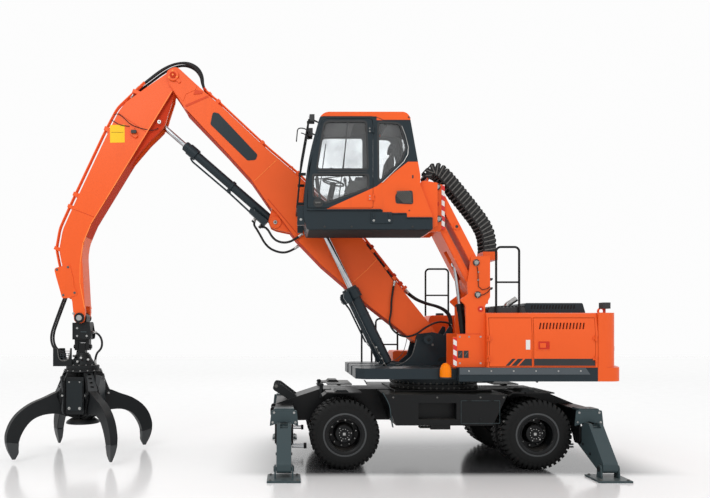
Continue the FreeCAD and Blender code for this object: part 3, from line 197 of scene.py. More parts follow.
def paint(name, base, wear=0.35, rough=0.36, coat=0.06, dust=0.12, regions=None):
    """Sprayed paint: slow tone drift, run-off streaks, dust on top faces, worn edges.

    regions, if given, takes the finish and returns the base colour as a socket."""
    finish = Finish(name)
    tone = finish.noise(1.3, 5)
    streak = finish.noise(7.0, 3, (1, 1, 0.12))
    fine = finish.noise(95.0, 2)
    start = regions(finish) if regions else base
    shadow = (0.02, 0.02, 0.02) if regions else shade(base, 0.5)
    dark = finish.mix(start, shadow, (tone.ramp(0.35, 0.8) * 0.1) + (streak.ramp(0.55, 0.85) * 0.1))
    dusty = finish.mix(dark, (0.36, 0.32, 0.28), finish.facing_up().ramp(0.6, 0.98) * tone.ramp(0.3,
                                                                                                0.7) * dust)
    worn = finish.edges(0.006).ramp(0.02, 0.22) * finish.noise(16.0, 5).ramp(0.5, 0.68) * wear
    finish.colour(finish.mix(dusty, (0.22, 0.2, 0.19), worn))
    finish.rough((tone * 0.18) + (fine * 0.06) + (rough - 0.1))
    finish.bump(fine, 0.06, 0.0006)
    return finish.set(Coat_Weight=coat, Coat_Roughness=0.2, Specular_IOR_Level=0.18).material


ORANGE = (0.78, 0.103, 0.016)
DEEP = (0.55, 0.03, 0.012)
SLATE = (0.015, 0.024, 0.030)
NEAR_BLACK = (0.0035, 0.004, 0.0045)
GREY_GREEN = (0.04, 0.06, 0.066)


def rubber(name, base, dust=0.25, scale=30.0):
    finish = Finish(name)
    grain, patch = finish.noise(scale, 6), finish.noise(4.0, 4)
    finish.colour(finish.mix(base, (0.04, 0.037, 0.034),
                             grain.ramp(0.45, 0.8) * patch.ramp(0.35, 0.75) * dust))
    finish.rough((grain * 0.25) + 0.5)
    finish.bump(grain, 0.25, 0.0012)
    return finish.set(Specular_IOR_Level=0.25).material


def steel(name, base, rough=0.12):
    finish = Finish(name)
    lines, patch = finish.noise(180.0, 2, (1, 1, 0.1)), finish.noise(5.0, 4)
    finish.colour(finish.mix(base, shade(base, 0.75), patch.ramp(0.4, 0.75)))
    finish.rough((lines * 0.08) + (patch * 0.08) + (rough - 0.06))
    return finish.set(Metallic=1.0).material


def plastic(name, base, rough=0.55):
    finish = Finish(name)
    grain, patch = finish.noise(260.0, 2), finish.noise(3.0, 3)
    finish.colour(finish.mix(base, shade(base, 1.6), patch.ramp(0.4, 0.8) * 0.5))
    finish.rough((grain * 0.14) + (rough - 0.07))
    finish.bump(grain, 0.2, 0.0006)
    return finish.material


def clear(name, tint, rough=0.02, weight=0.95):
    finish = Finish(name)
    smear = finish.noise(2.4, 5)
    finish.colour(finish.mix(tint, shade(tint, 0.8), smear.ramp(0.4, 0.7)))
    finish.rough((smear.ramp(0.5, 0.8) * 0.05) + rough)
    return finish.set(Transmission_Weight=weight, IOR=1.45, Specular_IOR_Level=0.05).material


def hatch(name, slope):
    """Red and white warning stripes."""
    finish = Finish(name)
    grain = finish.noise(20.0, 4)
    wave = (finish.z + (finish.x + finish.y) * slope) * 6.5
    stripe = wave.math("FRACT") > 0.5
    finish.colour(finish.mix(finish.mix((0.72, 0.7, 0.68), (0.6, 0.012, 0.012), stripe), (0.3, 0.25, 0.2),
                             grain.ramp(0.55, 0.85) * 0.3))
    finish.rough((grain * 0.2) + 0.3)
    return finish.material


# ================================================================ mesh making
def frame_at(origin, u, v):
    """A matrix whose local x runs along u and y along v."""
    u = Vector(u).normalized()
    n = u.cross(Vector(v)).normalized()
    v = n.cross(u)
    return Matrix(((u.x, v.x, n.x, origin[0]), (u.y, v.y, n.y, origin[1]), (u.z, v.z, n.z, origin[2]),
                   (0, 0, 0, 1)))


def round_off(points, default=0.0, steps=5):
    """A closed outline's corners rounded; a point may carry its own radius."""
    result, count = [], len(points)
    for index, point in enumerate(points):
        radius = point[2] if len(point) > 2 else default
        here = Vector(point[:2])
        before, after = Vector(points[index - 1][:2]), Vector(points[(index + 1) % count][:2])
        a, b = (before - here), (after - here)
        if radius <= 0 or a.length < 1e-6 or b.length < 1e-6:
            result.append(here)
            continue
        half = a.angle(b) / 2
        if half > math.radians(86):
            result.append(here)
            continue
        back = min(radius / math.tan(half), a.length * 0.49, b.length * 0.49)
        start, end = here + a.normalized() * back, here + b.normalized() * back
        for step in range(steps + 1):
            t = step / steps
            result.append(start.lerp(here, t).lerp(here.lerp(end, t), t))
    return result


def rect(x0, z0, x1, z1, radius=0.0, lean=0.0):
    """A rectangle's outline, its top pushed sideways by lean."""
    return [(x0, z0, radius), (x1, z0, radius), (x1 + lean, z1, radius), (x0 + lean, z1, radius)]


def circle(centre, u, v, radius, count, first=0.0):
    """Points evenly round a circle in the plane of u and v."""
    turns = [first + math.tau * i / count for i in range(count)]
    return [centre + (u * math.cos(turn) + v * math.sin(turn)) * radius for turn in turns]


def tube_faces(rings, sides):
    """Faces of a tube with closed ends, made of rings of points."""
    faces = [(k * sides + i, k * sides + (i + 1) % sides, (k + 1) * sides + (i + 1) % sides,
              (k + 1) * sides + i)
             for k in range(rings - 1) for i in range(sides)]
    top = (rings - 1) * sides
    return faces + [tuple(reversed(range(sides))), tuple(range(top, top + sides))]


def linked(name, data):
    """A new object in the scene."""
    thing = bpy.data.objects.new(name, data)
    bpy.context.scene.collection.objects.link(thing)
    return thing


class Piece:
    """One visible piece, gathered from many shapes, each with its own material."""
    def __init__(self, name, body, slot, material, bevel=0.003, steps=2, smooth=35):
        self.name, self.body, self.slot = name, body, slot
        self.bevel, self.steps, self.smooth = bevel, steps, smooth
        self.mesh, self.materials = bmesh.new(), [material]

    def add(self, verts, faces, material=None):
        if material is not None and material not in self.materials:
            self.materials.append(material)
        index = self.materials.index(material) if material is not None else 0
        made = [self.mesh.verts.new(vert) for vert in verts]
        for face in faces:
            try:
                self.mesh.faces.new([made[i] for i in face]).material_index = index
            except ValueError:
                pass
        return self

    def box(self, low, high, material=None):
        (x0, y0, z0), (x1, y1, z1) = [tuple(map(f, zip(low, high))) for f in (min, max)]
        corners = [(x, y, z) for z in (z0, z1) for x, y in ((x0, y0), (x1, y0), (x1, y1), (x0, y1))]
        return self.add(corners, [(3, 2, 1, 0), (4, 5, 6, 7), (0, 1, 5, 4), (1, 2, 6, 5), (2, 3, 7, 6),
                                  (3, 0, 4, 7)],
                        material)

    def box_at(self, at, low, high, material=None):
        """A box whose two corners are counted from a place."""
        return self.box(at + Vector(low), at + Vector(high), material)

    def prism(self, points, place, depth, material=None, radius=0.0, steps=5):
        """An outline in the plane of `place`, pushed along its normal."""
        outline = round_off(points, radius, steps)
        if sum(a.cross(b) for a, b in zip(outline, outline[1:] + outline[:1])) * depth < 0:
            outline.reverse()
        count = len(outline)
        verts = [place @ Vector((p.x, p.y, z)) for z in (0, depth) for p in outline]
        sides = [(i, (i + 1) % count, count + (i + 1) % count, count + i) for i in range(count)]
        return self.add(verts, [tuple(reversed(range(count))), tuple(range(count, 2 * count))] + sides,
                        material)

    def xz(self, points, y0, y1, material=None, radius=0.0, steps=5):
        """Outline in slew-axis x and z, between two y."""
        place = Matrix(((1, 0, 0, SLEW_X), (0, 0, -1, y1), (0, 1, 0, 0), (0, 0, 0, 1)))
        return self.prism(points, place, y1 - y0, material, radius, steps)

    def lathe(self, profile, origin, axis, sides=32, material=None, closed=True):
        """(along, radius) points turned about an axis."""
        axis = Vector(axis).normalized()
        side = axis.orthogonal().normalized()
        place = frame_at(origin, side, axis.cross(side))
        verts = []
        for i in range(sides):
            turn = math.tau * i / sides
            verts += [place @ Vector((r * math.cos(turn), r * math.sin(turn), a)) for a, r in profile]
        count, faces = len(profile), []
        for i in range(sides):
            j = (i + 1) % sides
            for k in range(count if closed else count - 1):
                m = (k + 1) % count
                faces.append((i * count + k, j * count + k, j * count + m, i * count + m))
        return self.add(verts, faces, material)

    def rod(self, start, end, radius, sides=24, material=None, chamfer=0.0):
        """A round bar with broken edges."""
        start, end = Vector(start), Vector(end)
        length = (end - start).length
        c = min(chamfer, length / 3, radius / 2)
        profile = [(0, radius), (length, radius)]
        if c:
            profile = [(0, radius - c), (c, radius), (length - c, radius), (length, radius - c)]
        axis = (end - start).normalized()
        side = axis.orthogonal().normalized()
        other = axis.cross(side)
        verts = [p for a, r in profile for p in circle(start + axis * a, side, other, r, sides)]
        return self.add(verts, tube_faces(len(profile), sides), material)

    def discs(self, at, way, *steps):
        """Rods end to end along a way, each as (start, end, radius, sides, material, chamfer)."""
        for start, end, radius, sides, material, chamfer in steps:
            self.rod(at + way * start, at + way * end, radius, sides, material, chamfer=chamfer)

    def ring(self, origin, axis, inner, outer, depth, sides=40, material=None, chamfer=0.0):
        c = chamfer
        return self.lathe([(0, inner), (0, outer - c), (c, outer), (depth - c, outer), (depth, outer - c),
                           (depth, inner)], origin, axis, sides, material)

    def bolt(self, at, axis, radius, material=None, washer=True):
        """A hexagon head on a washer, its foot sunk a little into what it holds."""
        at, axis = Vector(at), Vector(axis).normalized()
        if washer:
            self.rod(at - axis * 0.002, at + axis * radius * 0.22, radius * 1.45, 16, material)
        return self.rod(at, at + axis * radius * 0.85, radius, 6, material, chamfer=radius * 0.15)

    def wire(self, points, radius, sides=10, material=None):
        """A round bar along points, its ends flat."""
        points = [Vector(p) for p in points]
        verts = []
        normal = (points[1] - points[0]).orthogonal().normalized()
        for i, p in enumerate(points):
            way = (points[min(i + 1, len(points) - 1)] - points[max(i - 1, 0)]).normalized()
            normal = (normal - way * normal.dot(way)).normalized()
            verts += circle(p, normal, way.cross(normal), radius, sides)
        return self.add(verts, tube_faces(len(points), sides), material)

    def rail(self, points, radius, bend, sides=12, material=None):
        """A bent tube through points, with each corner rounded."""
        points, line = [Vector(p) for p in points], []
        for i, p in enumerate(points):
            if i in (0, len(points) - 1):
                line.append(p)
                continue
            a, b = points[i - 1] - p, points[i + 1] - p
            back = min(bend, a.length * 0.45, b.length * 0.45)
            start, end = p + a.normalized() * back, p + b.normalized() * back
            line += [start.lerp(p, t / 6).lerp(p.lerp(end, t / 6), t / 6) for t in range(7)]
        return self.wire(line, radius, sides, material)

    def make(self, *replaced):
        bmesh.ops.recalc_face_normals(self.mesh, faces=self.mesh.faces)
        data = bpy.data.meshes.new(self.name)
        self.mesh.to_mesh(data)
        self.mesh.free()
        thing = linked(self.name, data)
        for material in self.materials:
            data.materials.append(material)
        finish_mesh(thing, self.bevel, self.steps, self.smooth)
        if self.body:
            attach(thing, self.body)
        if replaced:
            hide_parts(*replaced)
        return thing


def bevelled(thing, width, steps, angle):
    thing.data.polygons.foreach_set("use_smooth", [True] * len(thing.data.polygons))
    edge = thing.modifiers.new("edge", "BEVEL")
    edge.width, edge.segments, edge.limit_method = width, steps, "ANGLE"
    edge.angle_limit = math.radians(angle)
    return edge


def finish_mesh(thing, bevel, steps, angle):
    thing.data.polygons.foreach_set("use_smooth", [True] * len(thing.data.polygons))
    thing.data.set_sharp_from_angle(angle=math.radians(angle))
    if bevel:
        bevelled(thing, bevel, steps, angle).harden_normals = True


def soften(node, material, width=0.004, flatten=True):
    """A better finish and broken edges for a node that keeps its own shape."""
    thing = frame["nodes"][node]
    thing.data.materials.clear()
    thing.data.materials.append(material)
    if not width:
        return
    thing.modifiers.clear()
    if "custom_normal" in thing.data.attributes:
        thing.data.attributes.remove(thing.data.attributes["custom_normal"])
    thing.modifiers.new("weld", "WELD").merge_threshold = 0.00002
    if flatten:
        flat = thing.modifiers.new("flat", "DECIMATE")
        flat.decimate_type, flat.angle_limit = "DISSOLVE", math.radians(0.6)
    bevelled(thing, width, 2, 32).use_clamp_overlap = False
    thing.modifiers.new("even", "WEIGHTED_NORMAL").keep_sharp = True


def member(foot, direction, s, t, y):
    """A place on the boom or arm: s along it, t square to it, upwards or backwards."""
    along = Vector(direction)
    square = Vector((along.z, 0, -along.x))
    return foot + along * s + square * t + SIDE * y


# ================================================================ finishes
orange = paint("orange", ORANGE)
deep_red = paint("deep_red", DEEP)
slate = paint("slate", SLATE, wear=0.5)
black = paint("black", NEAR_BLACK, wear=0.6, rough=0.42, coat=0.1, dust=0.12)
grey = paint("grey", GREY_GREEN, wear=0.4, rough=0.35)
iron = paint("iron", (0.06, 0.065, 0.07), coat=0.0, rough=0.5)
white = paint("white", (0.7, 0.7, 0.68), wear=0.2)
light_slate = paint("light_slate", (0.075, 0.088, 0.098))
# lighter grey for the rim's lock ring, partly a painted highlight on its edge
rim_ring_highlight = paint("rim_ring_highlight", (0.06, 0.063, 0.065))
# darker red copy of the orange: painted shade on faces and plates out of the light
shaded_red = paint("shaded_red", (0.5, 0.035, 0.008), coat=0.0, rough=0.75)
# darker orange: painted shade on the fork's sloped faces
shaded = paint("shaded_orange", (0.6, 0.055, 0.01), coat=0.0)
# brighter orange: painted highlight on lit edges, seams and bolt heads
highlight_orange = paint("highlight_orange", (0.95, 0.24, 0.05), wear=0.1)
sticker = paint("sticker_yellow", (0.85, 0.5, 0.01), wear=0.1, coat=0.0)
cast = paint("cast_black", (0.009, 0.0105, 0.0115), coat=0.03, rough=0.5)
cover_slate = paint("cover_slate", (0.009, 0.013, 0.015))
worn_iron = paint("worn_iron", (0.045, 0.048, 0.05), wear=0.7, rough=0.42)
tyre = rubber("tyre", (0.003, 0.0032, 0.0033), 0.1)
hose = rubber("hose", (0.012, 0.012, 0.013), 0.1, 90.0)
chrome = steel("chrome", (0.5, 0.52, 0.54), 0.12)
bare = steel("bare_steel", (0.42, 0.42, 0.41), 0.3)
moulded = plastic("moulded", (0.016, 0.017, 0.018))
trim = plastic("trim", (0.09, 0.088, 0.082))
decal = plastic("decal", (0.008, 0.008, 0.009), 0.4)
# flat black: painted shade in holes, slots and openings, and under and behind parts
shade_black = plastic("shade_black", (0.002, 0.002, 0.002), 0.9)
chain_black = plastic("chain_black", (0.0045, 0.0048, 0.005), 0.65)
glass = clear("glass", (0.72, 0.74, 0.75))
lamp_glass = clear("lamp_glass", (0.9, 0.92, 0.95), 0.08, 0.6)
amber = clear("amber", (1.0, 0.24, 0.004), 0.12, 0.15)
warning = hatch("warning", 0.6)

# name of a corner, the side it is on
SIDES = (("left", LEFT), ("right", RIGHT))
CORNERS = {"%s_%s" % (end, side): way for end in ("front", "rear") for side, way in SIDES}
PAINTED = (
    (orange, "boom arm counterweight left_front_door left_rear_door riser_tower riser_upper_link "
             "riser_lower_link cab_carrier cab_door"),
    (slate, "revolving_frame boom_cylinder_barrels arm_cylinder_barrel engine_hood"),
    (black, "chassis side_boxes axles left_knuckle right_knuckle riser_cylinder_barrel grapple_hanger "
            "rotator_head grapple_body tine_1 tine_2 tine_3 tine_4 handrails"),
    (chrome, "boom_cylinder_rods arm_cylinder_rod riser_cylinder_rod "
             "tine_rod_1 tine_rod_2 tine_rod_3 tine_rod_4"),
    (iron, "engine_block"), (moulded, "cab_interior"))
soften("body_panels", orange, flatten=False)
for material, names in PAINTED:
    for name in names.split():
        soften(name, material)
for corner in CORNERS:
    soften(corner + "_leg", grey)
    soften(corner + "_pad", grey)
    soften(corner + "_rim", black)
    soften(corner + "_tyres", tyre, 0)
for name in ("boom_tip_hoses", "boom_foot_hoses", "grapple_hoses", "cable_chain"):
    soften(name, hose, 0)
soften("cab_windows", glass, 0)


# ================================================================ cab
def mm(points):
    """Outline from millimetres to metres."""
    return [tuple(value / 1000 for value in point) for point in points]


CAB_OUT, CAB_IN, CAB_TOP = -1.39, -0.45, 5.333
CAB_FLOOR, SEAT_Y = 3.813, -0.92
DOOR = mm([(-2154, 3911, 30), (-2134, 4500, 0), (-1925, 5226, 110), (-1201, 5226, 40), (-1186, 5100),
           (-1186, 3911, 30)])
DOOR_UPPER = mm([(-2010, 4487, 40), (-1895, 5185, 90), (-1289, 5185, 50), (-1264, 4487, 40)])
DOOR_LOWER = mm([(-2070, 4398, 30), (-1258, 4398, 30), (-1258, 4206, 20), (-1880, 3990, 30),
                 (-2060, 4090, 30)])
SIDE_REAR = mm([(-1103, 5172, 40), (-790, 5155, 90), (-700, 4800, 80), (-765, 4620, 60), (-1096, 4298, 30)])


def cab_regions(finish):
    """Slate round the glass and on the base, orange roof and lower rear."""
    lower = (finish.x - (SLEW_X - 1.879)) * 0.4527 + 3.890
    upper = (finish.x - (SLEW_X - 1.128)) * 0.7846 + 4.230
    line = lower.either(upper).both((finish.x * 0.0) + 4.592)
    roof = ((finish.x > SLEW_X - 1.13) * -0.055) + 5.262
    base = ((finish.x > SLEW_X - 1.04) * -0.059) + ((finish.x > SLEW_X - 0.681) * -0.059) + 3.881
    dark = ((finish.z > line) * (finish.z < roof)).either(finish.z < base)
    return finish.mix(ORANGE, SLATE, dark)


cab_skin = paint("cab_skin", ORANGE, regions=cab_regions)
soften("cab_shell", cab_skin)


def grown(points, by):
    """A convex-ish outline pushed outwards, its corner radii with it."""
    flat = [Vector(p[:2]) for p in points]
    turn = sum(a.cross(b) for a, b in zip(flat, flat[1:] + flat[:1]))
    result, way = [], 1 if turn > 0 else -1
    for i, p in enumerate(flat):
        a, b = (p - flat[i - 1]).normalized(), (flat[(i + 1) % len(flat)] - p).normalized()
        na, nb = Vector((a.y, -a.x)) * way, Vector((b.y, -b.x)) * way
        shift = (na + nb) / (1 + na.dot(nb)) * by
        radius = points[i][2] if len(points[i]) > 2 else 0
        result.append((p.x + shift.x, p.y + shift.y, max(radius + by, 0.002) if radius else 0))
    return result


def face_place(y, way=1):
    """Plane of slew-axis x and z at y, its normal towards way."""
    return Matrix(((1, 0, 0, SLEW_X), (0, 0, way, y), (0, 1, 0, 0), (0, 0, 0, 1)))


def cab_face(inwards=0.0):
    """The cab's outer side, or a plane some way inside it."""
    return face_place(CAB_OUT + inwards)


def plate_mesh(loops):
    """A flat mesh in x and y: the first loop with the others as holes."""
    sheet = bmesh.new()
    for loop in loops:
        made = [sheet.verts.new((p[0], p[1], 0)) for p in loop]
        for a, b in zip(made, made[1:] + made[:1]):
            sheet.edges.new((a, b))
    bmesh.ops.triangle_fill(sheet, use_beauty=True, use_dissolve=False, edges=sheet.edges[:])
    return sheet


def push(sheet):
    """The sheet extruded in place; returns the points of the copy."""
    pushed = bmesh.ops.extrude_face_region(sheet, geom=sheet.faces[:], use_keep_orig=True)
    return {item for item in pushed["geom"] if isinstance(item, bmesh.types.BMVert)}


def add_sheet(piece, sheet, place, material):
    sheet.verts.index_update()
    piece.add([place @ v.co for v in sheet.verts], [[v.index for v in f.verts] for f in sheet.faces],
              material)
    sheet.free()


def pierced(piece, outer, holes, place, depth, material=None):
    """A plate with holes."""
    sheet = plate_mesh([round_off(loop) for loop in [outer] + holes])
    for vert in push(sheet):
        vert.co.z += depth
    add_sheet(piece, sheet, place, material)


def make_door():
    door = Piece("cab_door_leaf", "cab_door", "orange_paint", cab_skin, 0.005, 3)
    holes = (DOOR_UPPER, DOOR_LOWER)
    pierced(door, DOOR, [grown(hole, 0.006) for hole in holes], cab_face(), 0.05)
    for hole in holes:
        for inwards, lip in ((-0.003, -0.008), (0.045, -0.01)):
            pierced(door, grown(hole, 0.02), [grown(hole, lip)], cab_face(inwards), 0.012, moulded)
    pierced(door, mm(rect(-2000, 4436, -1270, 4452)), [], cab_face(-0.006), 0.01, moulded)
    # round handle recess with its lever
    at = W(-1.995, CAB_OUT, 3.985)
    door.ring(at - SIDE * 0.006, SIDE, 0.056, 0.072, 0.012, 32, moulded, 0.003)
    door.rod(at + SIDE * 0.001, at - SIDE * 0.0035, 0.057, 32, moulded)
    door.box_at(at, (-0.045, -0.02, -0.012), (0.035, -0.004, 0.012), trim)
    door.rod(at + Vector((-0.03, -0.002, 0)), at + Vector((-0.03, -0.016, 0)), 0.014, 20, bare)
    # hinges
    for z in (4.06, 5.06):
        pin = W(-1.183, -1.408, z)
        door.rod(pin - UP * 0.045, pin + UP * 0.045, 0.012, 20, cab_skin, chamfer=0.002)
        door.box_at(pin, (-0.075, 0.006, -0.04), (0.0, 0.019, 0.04), cab_skin)
        for dz in (-0.022, 0.022):
            door.bolt(pin + Vector((-0.05, 0.007, dz)), -SIDE, 0.007, bare)
    door.make("cab_door")

    pane = Piece("cab_door_glass", "cab_door", "glass", glass, 0)
    for hole in holes:
        pane.prism(grown(hole, 0.004), cab_face(0.02), 0.006)
    pane.make()

    # sliding half's frame and its two small latches
    slider = Piece("cab_door_slider", "cab_door", "black_plastic", moulded, 0.001)
    slider.wire([W(-1.62, CAB_OUT + 0.03, 4.49), W(-1.56, CAB_OUT + 0.03, 5.18)], 0.008)
    for x, z in ((-1.80, 4.49), (-1.79, 4.432)):
        slider.rod(W(x, CAB_OUT + 0.024, z), W(x, CAB_OUT + 0.001, z), 0.018, 20)
    slider.make()


def add_vent_bars(piece, step):
    """One slanted bar of the grille, cut to the grille's opening."""
    low = Vector((-0.90 + step * 0.028, 3.985))
    high = Vector((low.x + 0.12, 4.15))
    line = [low.lerp(high, t / 24) for t in range(25)]
    inside = [p for p in line if -0.835 < p.x < -0.612 and 3.99 < p.y < 4.145 and p.x - p.y > -4.975]
    if len(inside) > 3:
        piece.wire([W(p.x, CAB_OUT - 0.004, p.y) for p in (inside[0], inside[-1])], 0.0045, 6, trim)


def make_cab_trim():
    trimming = Piece("cab_trim", "cab", "black_plastic", moulded, 0.002)
    pierced(trimming, grown(SIDE_REAR, 0.02), [grown(SIDE_REAR, -0.008)], cab_face(-0.002), 0.012)
    # bright strip along the curved rear edge of the glass
    edge = [(-0.76, 5.12), (-0.705, 4.98), (-0.663, 4.81), (-0.67, 4.70), (-0.73, 4.59), (-0.87, 4.455),
            (-1.05, 4.28)]
    trimming.wire([W(x, CAB_OUT - 0.006, z) for x, z in edge], 0.006, 8, bare)
    # slot and vent grille behind the door
    trimming.prism(mm(rect(-607, 4345, -585, 4395, 8)), cab_face(-0.002), 0.004)
    vent = mm([(-838, 3985, 25), (-845, 4080, 35), (-815, 4140, 25), (-610, 4155, 25), (-600, 3975, 25)])
    pierced(trimming, grown(vent, 0.012), [grown(vent, -0.006)], cab_face(-0.004), 0.012)
    # black sheet behind the bars, painted shade inside the grille
    trimming.prism(grown(vent, -0.005), cab_face(-0.001), 0.002, black)
    for step in range(13):
        add_vent_bars(trimming, step)
    trimming.rod(W(-0.647, CAB_OUT + 0.002, 3.87), W(-0.647, CAB_OUT - 0.004, 3.87), 0.011, 20)
    # roof gutter line, roof seam and roof bolts
    gutter = [(-1.93, 5.262), (-1.2, 5.262), (-1.1, 5.24), (-1.03, 5.207), (-0.63, 5.207)]
    trimming.wire([W(x, CAB_OUT - 0.002, z) for x, z in gutter], 0.004, 8)
    for x in (-1.74, -1.21, -0.81):
        for y in (CAB_OUT + 0.1, CAB_IN - 0.1):
            trimming.rod(W(x, y, CAB_TOP - 0.004), W(x, y, CAB_TOP + 0.012), 0.022, 16, cab_skin,
                         chamfer=0.004)
            trimming.bolt(W(x, y, CAB_TOP + 0.011), UP, 0.012, bare)
    trimming.box(W(-1.205, CAB_OUT + 0.02, CAB_TOP - 0.003), W(-1.195, CAB_IN - 0.02, CAB_TOP + 0.003))
    trimming.rod(W(-0.655, CAB_OUT + 0.003, 5.25), W(-0.655, CAB_OUT - 0.005, 5.25), 0.013, 16, moulded)
    # shelf under the cab in three steps, with its bracket and bolts
    for outline, inwards, depth in (
            ([(-2160, 3872), (-2160, 3888), (-1075, 3888), (-1050, 3872)], -0.03, 0.035),
            (rect(-1008, 3818, -690, 3832), -0.02, 0.025), (rect(-690, 3756, -310, 3770), -0.02, 0.025),
            (rect(-1215, 3683, -905, 3845, 12), -0.016, 0.018)):
        trimming.prism(mm(outline), cab_face(inwards), depth, slate)
    for x in (-1.175, -0.945):
        trimming.bolt(W(x, CAB_OUT - 0.016, 3.72), -SIDE, 0.012, bare)
        trimming.box(W(x - 0.012, CAB_OUT - 0.03, 3.76), W(x + 0.012, CAB_OUT - 0.014, 3.83), slate)
    for x in (-1.9, -1.5, -0.6):
        trimming.bolt(W(x, CAB_OUT - 0.002, 3.63), -SIDE, 0.011, moulded)
    trimming.make()


def make_windscreen_guard():
    """Frame, mesh and brackets before the windscreen."""
    guard = Piece("windscreen_guard", "cab", "black_plastic", black, 0.002)
    line = [(-2.13, 5.235), (-2.17, 5.02), (-2.245, 4.6), (-2.28, 4.2), (-2.307, 3.93)]
    ends = (CAB_OUT + 0.06, CAB_IN - 0.06)
    rows, columns, wire = 44, 28, 0.0032
    for y in ends:
        guard.wire([W(x, y, z) for x, z in line], 0.014, 10)
    spans = []
    for step in range(rows + 1):
        t = step / rows * (len(line) - 1)
        i = min(int(t), len(line) - 2)
        spans.append(Vector(line[i]).lerp(Vector(line[i + 1]), t - i))
    for step, p in enumerate(spans):
        guard.wire([W(p.x, y, p.y) for y in ends], 0.012 if step in (0, rows) else wire, 6)
    for step in range(1, columns):
        y = ends[0] + (ends[1] - ends[0]) * step / columns
        guard.wire([W(p.x, y, p.y) for p in spans[::4]], wire, 6)
    for y in ends:
        for x, z in ((-2.10, 5.19), (-2.225, 4.42), (-2.245, 3.98)):
            guard.box(W(x - 0.06, y - 0.012, z - 0.02), W(x + 0.05, y + 0.012, z + 0.02))
    guard.box(W(-2.305, CAB_OUT + 0.02, 3.66), W(-2.195, CAB_OUT + 0.1, 3.95), slate)
    guard.box(W(-2.29, CAB_IN - 0.1, 3.66), W(-2.195, CAB_IN - 0.02, 3.95), slate)
    guard.bolt(W(-2.25, CAB_OUT + 0.02, 3.74), -SIDE, 0.014, bare)
    guard.make()


def make_cab_lamps():
    """Two lamps over the windscreen and the mirror's arms."""
    lamp = Piece("cab_lamps", "cab", "black_plastic", moulded, 0.003)
    for y in (CAB_OUT + 0.12, CAB_IN - 0.12):
        at = W(-2.10, y, 5.26)
        lamp.box_at(at, (-0.02, -0.045, -0.06), (0.055, 0.045, 0.06))
        lamp.lathe([(0, 0), (0.0, 0.04), (0.012, 0.036), (0.012, 0)], at + AHEAD * 0.032, -AHEAD, 24,
                   lamp_glass, closed=False)
        lamp.rod(at + Vector((0.05, 0, -0.02)), at + Vector((0.12, 0, -0.055)), 0.012, 12)
    lamp.rail([W(-2.11, CAB_OUT + 0.03, 5.03), W(-2.20, CAB_OUT - 0.06, 5.07), W(-2.30, CAB_OUT - 0.1, 5.06),
               W(-2.318, CAB_OUT - 0.1, 4.86)], 0.009, 0.05, 10)
    lamp.rail([W(-2.13, CAB_OUT + 0.03, 4.93), W(-2.2, CAB_OUT - 0.05, 4.99), W(-2.25, CAB_OUT - 0.06, 5.0)],
              0.008, 0.03, 10)
    lamp.make()


def make_cab_shades_and_slats():
    """Dark sheets of painted shade under the cab and under its roof, and the vent's slats."""
    under_shade = Piece("cab_under_shade", "cab", "black_plastic", shade_black, 0.002)
    under_shade.box(W(-2.13, -1.375, 3.585), W(-0.31, -0.47, 3.5895))
    under_shade.make()
    roof_shade = Piece("cab_roof_shade", "cab", "black_plastic", shade_black, 0.01)
    roof_shade.box(W(-1.93, -1.30, 5.238), W(-0.62, -0.52, 5.246))
    roof_shade.make()
    vent = Piece("cab_vent_slats", "cab", "black_plastic", trim, 0.001, 1)
    y, front, back, low = -1.412, -0.835, -0.615, 3.955
    for step in range(9):
        x = -0.845 + step * 0.028
        before, past = max(0.0, front - x + 0.05), max(0.0, x + 0.12 - back)
        vent.rod(W(max(x - 0.05, front), y, low + 0.205 - before * 1.2),
                 W(min(x + 0.12, back), y, low + 0.02 + past * 1.1), 0.0075, 6)
    vent.make()


# ---------------------------------------------------------------- cab interior
def cloth(name, base):
    finish = Finish(name)
    weave, patch = finish.noise(420.0, 2, (1, 0.3, 1)), finish.noise(6.0, 3)
    finish.colour(finish.mix(base, shade(base, 2.2), weave.ramp(0.35, 0.7) * patch.ramp(0.2, 0.8)))
    finish.rough((weave * 0.1) + 0.85)
    finish.bump(weave, 0.5, 0.001)
    return finish.material


seat_cloth = cloth("seat_cloth", (0.03, 0.034, 0.04))


def cushion(name, centre, size, tilt, crown=0.3, rows=14):
    """A crowned pad: a box grid whose faces bulge, whose sides pull in, with two sewn channels."""
    ball = bmesh.new()
    bmesh.ops.create_cube(ball, size=2)
    bmesh.ops.subdivide_edges(ball, edges=ball.edges[:], cuts=rows, use_grid_fill=True)
    turn = Matrix.Rotation(math.radians(tilt), 3, "Y")
    for vert in ball.verts:
        x, y, z = vert.co
        waist = 0.94 + 0.06 * (1 - z * z)
        px = x * waist * (1 - 0.05 * y * y)
        py = y * waist * (1 - 0.05 * x * x)
        pz = z * (0.62 + crown * (1 - x * x) * (1 - y * y) + 0.06 * (1 - abs(x) ** 6) * (1 - abs(y) ** 6))
        if z > 0.9:
            pz -= 0.05 * math.exp(-((abs(y) - 0.52) / 0.05) ** 2)
        vert.co = Vector(centre) + turn @ Vector((px * size[0] / 2, py * size[1] / 2, pz * size[2] / 2))
    data = bpy.data.meshes.new(name)
    ball.to_mesh(data)
    ball.free()
    pad = linked(name, data)
    data.materials.append(seat_cloth)
    data.polygons.foreach_set("use_smooth", [True] * len(data.polygons))
    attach(pad, "cab")


def add_steering_wheel(piece):
    hub, axis = W(-1.742, SEAT_Y, 4.37), Vector((0.25, 0, 0.968)).normalized()
    flat = axis.orthogonal().normalized()
    other = axis.cross(flat)
    rim = circle(hub + axis * 0.012, flat, other, 0.165, 36)
    piece.wire(rim + rim[:1], 0.014, 10)
    piece.rod(hub - axis * 0.02, hub + axis * 0.014, 0.045, 24, chamfer=0.008)
    for spoke in circle(hub + axis * 0.01, flat, other, 0.16, 3, math.tau / 12):
        piece.wire([hub, spoke], 0.01, 8)


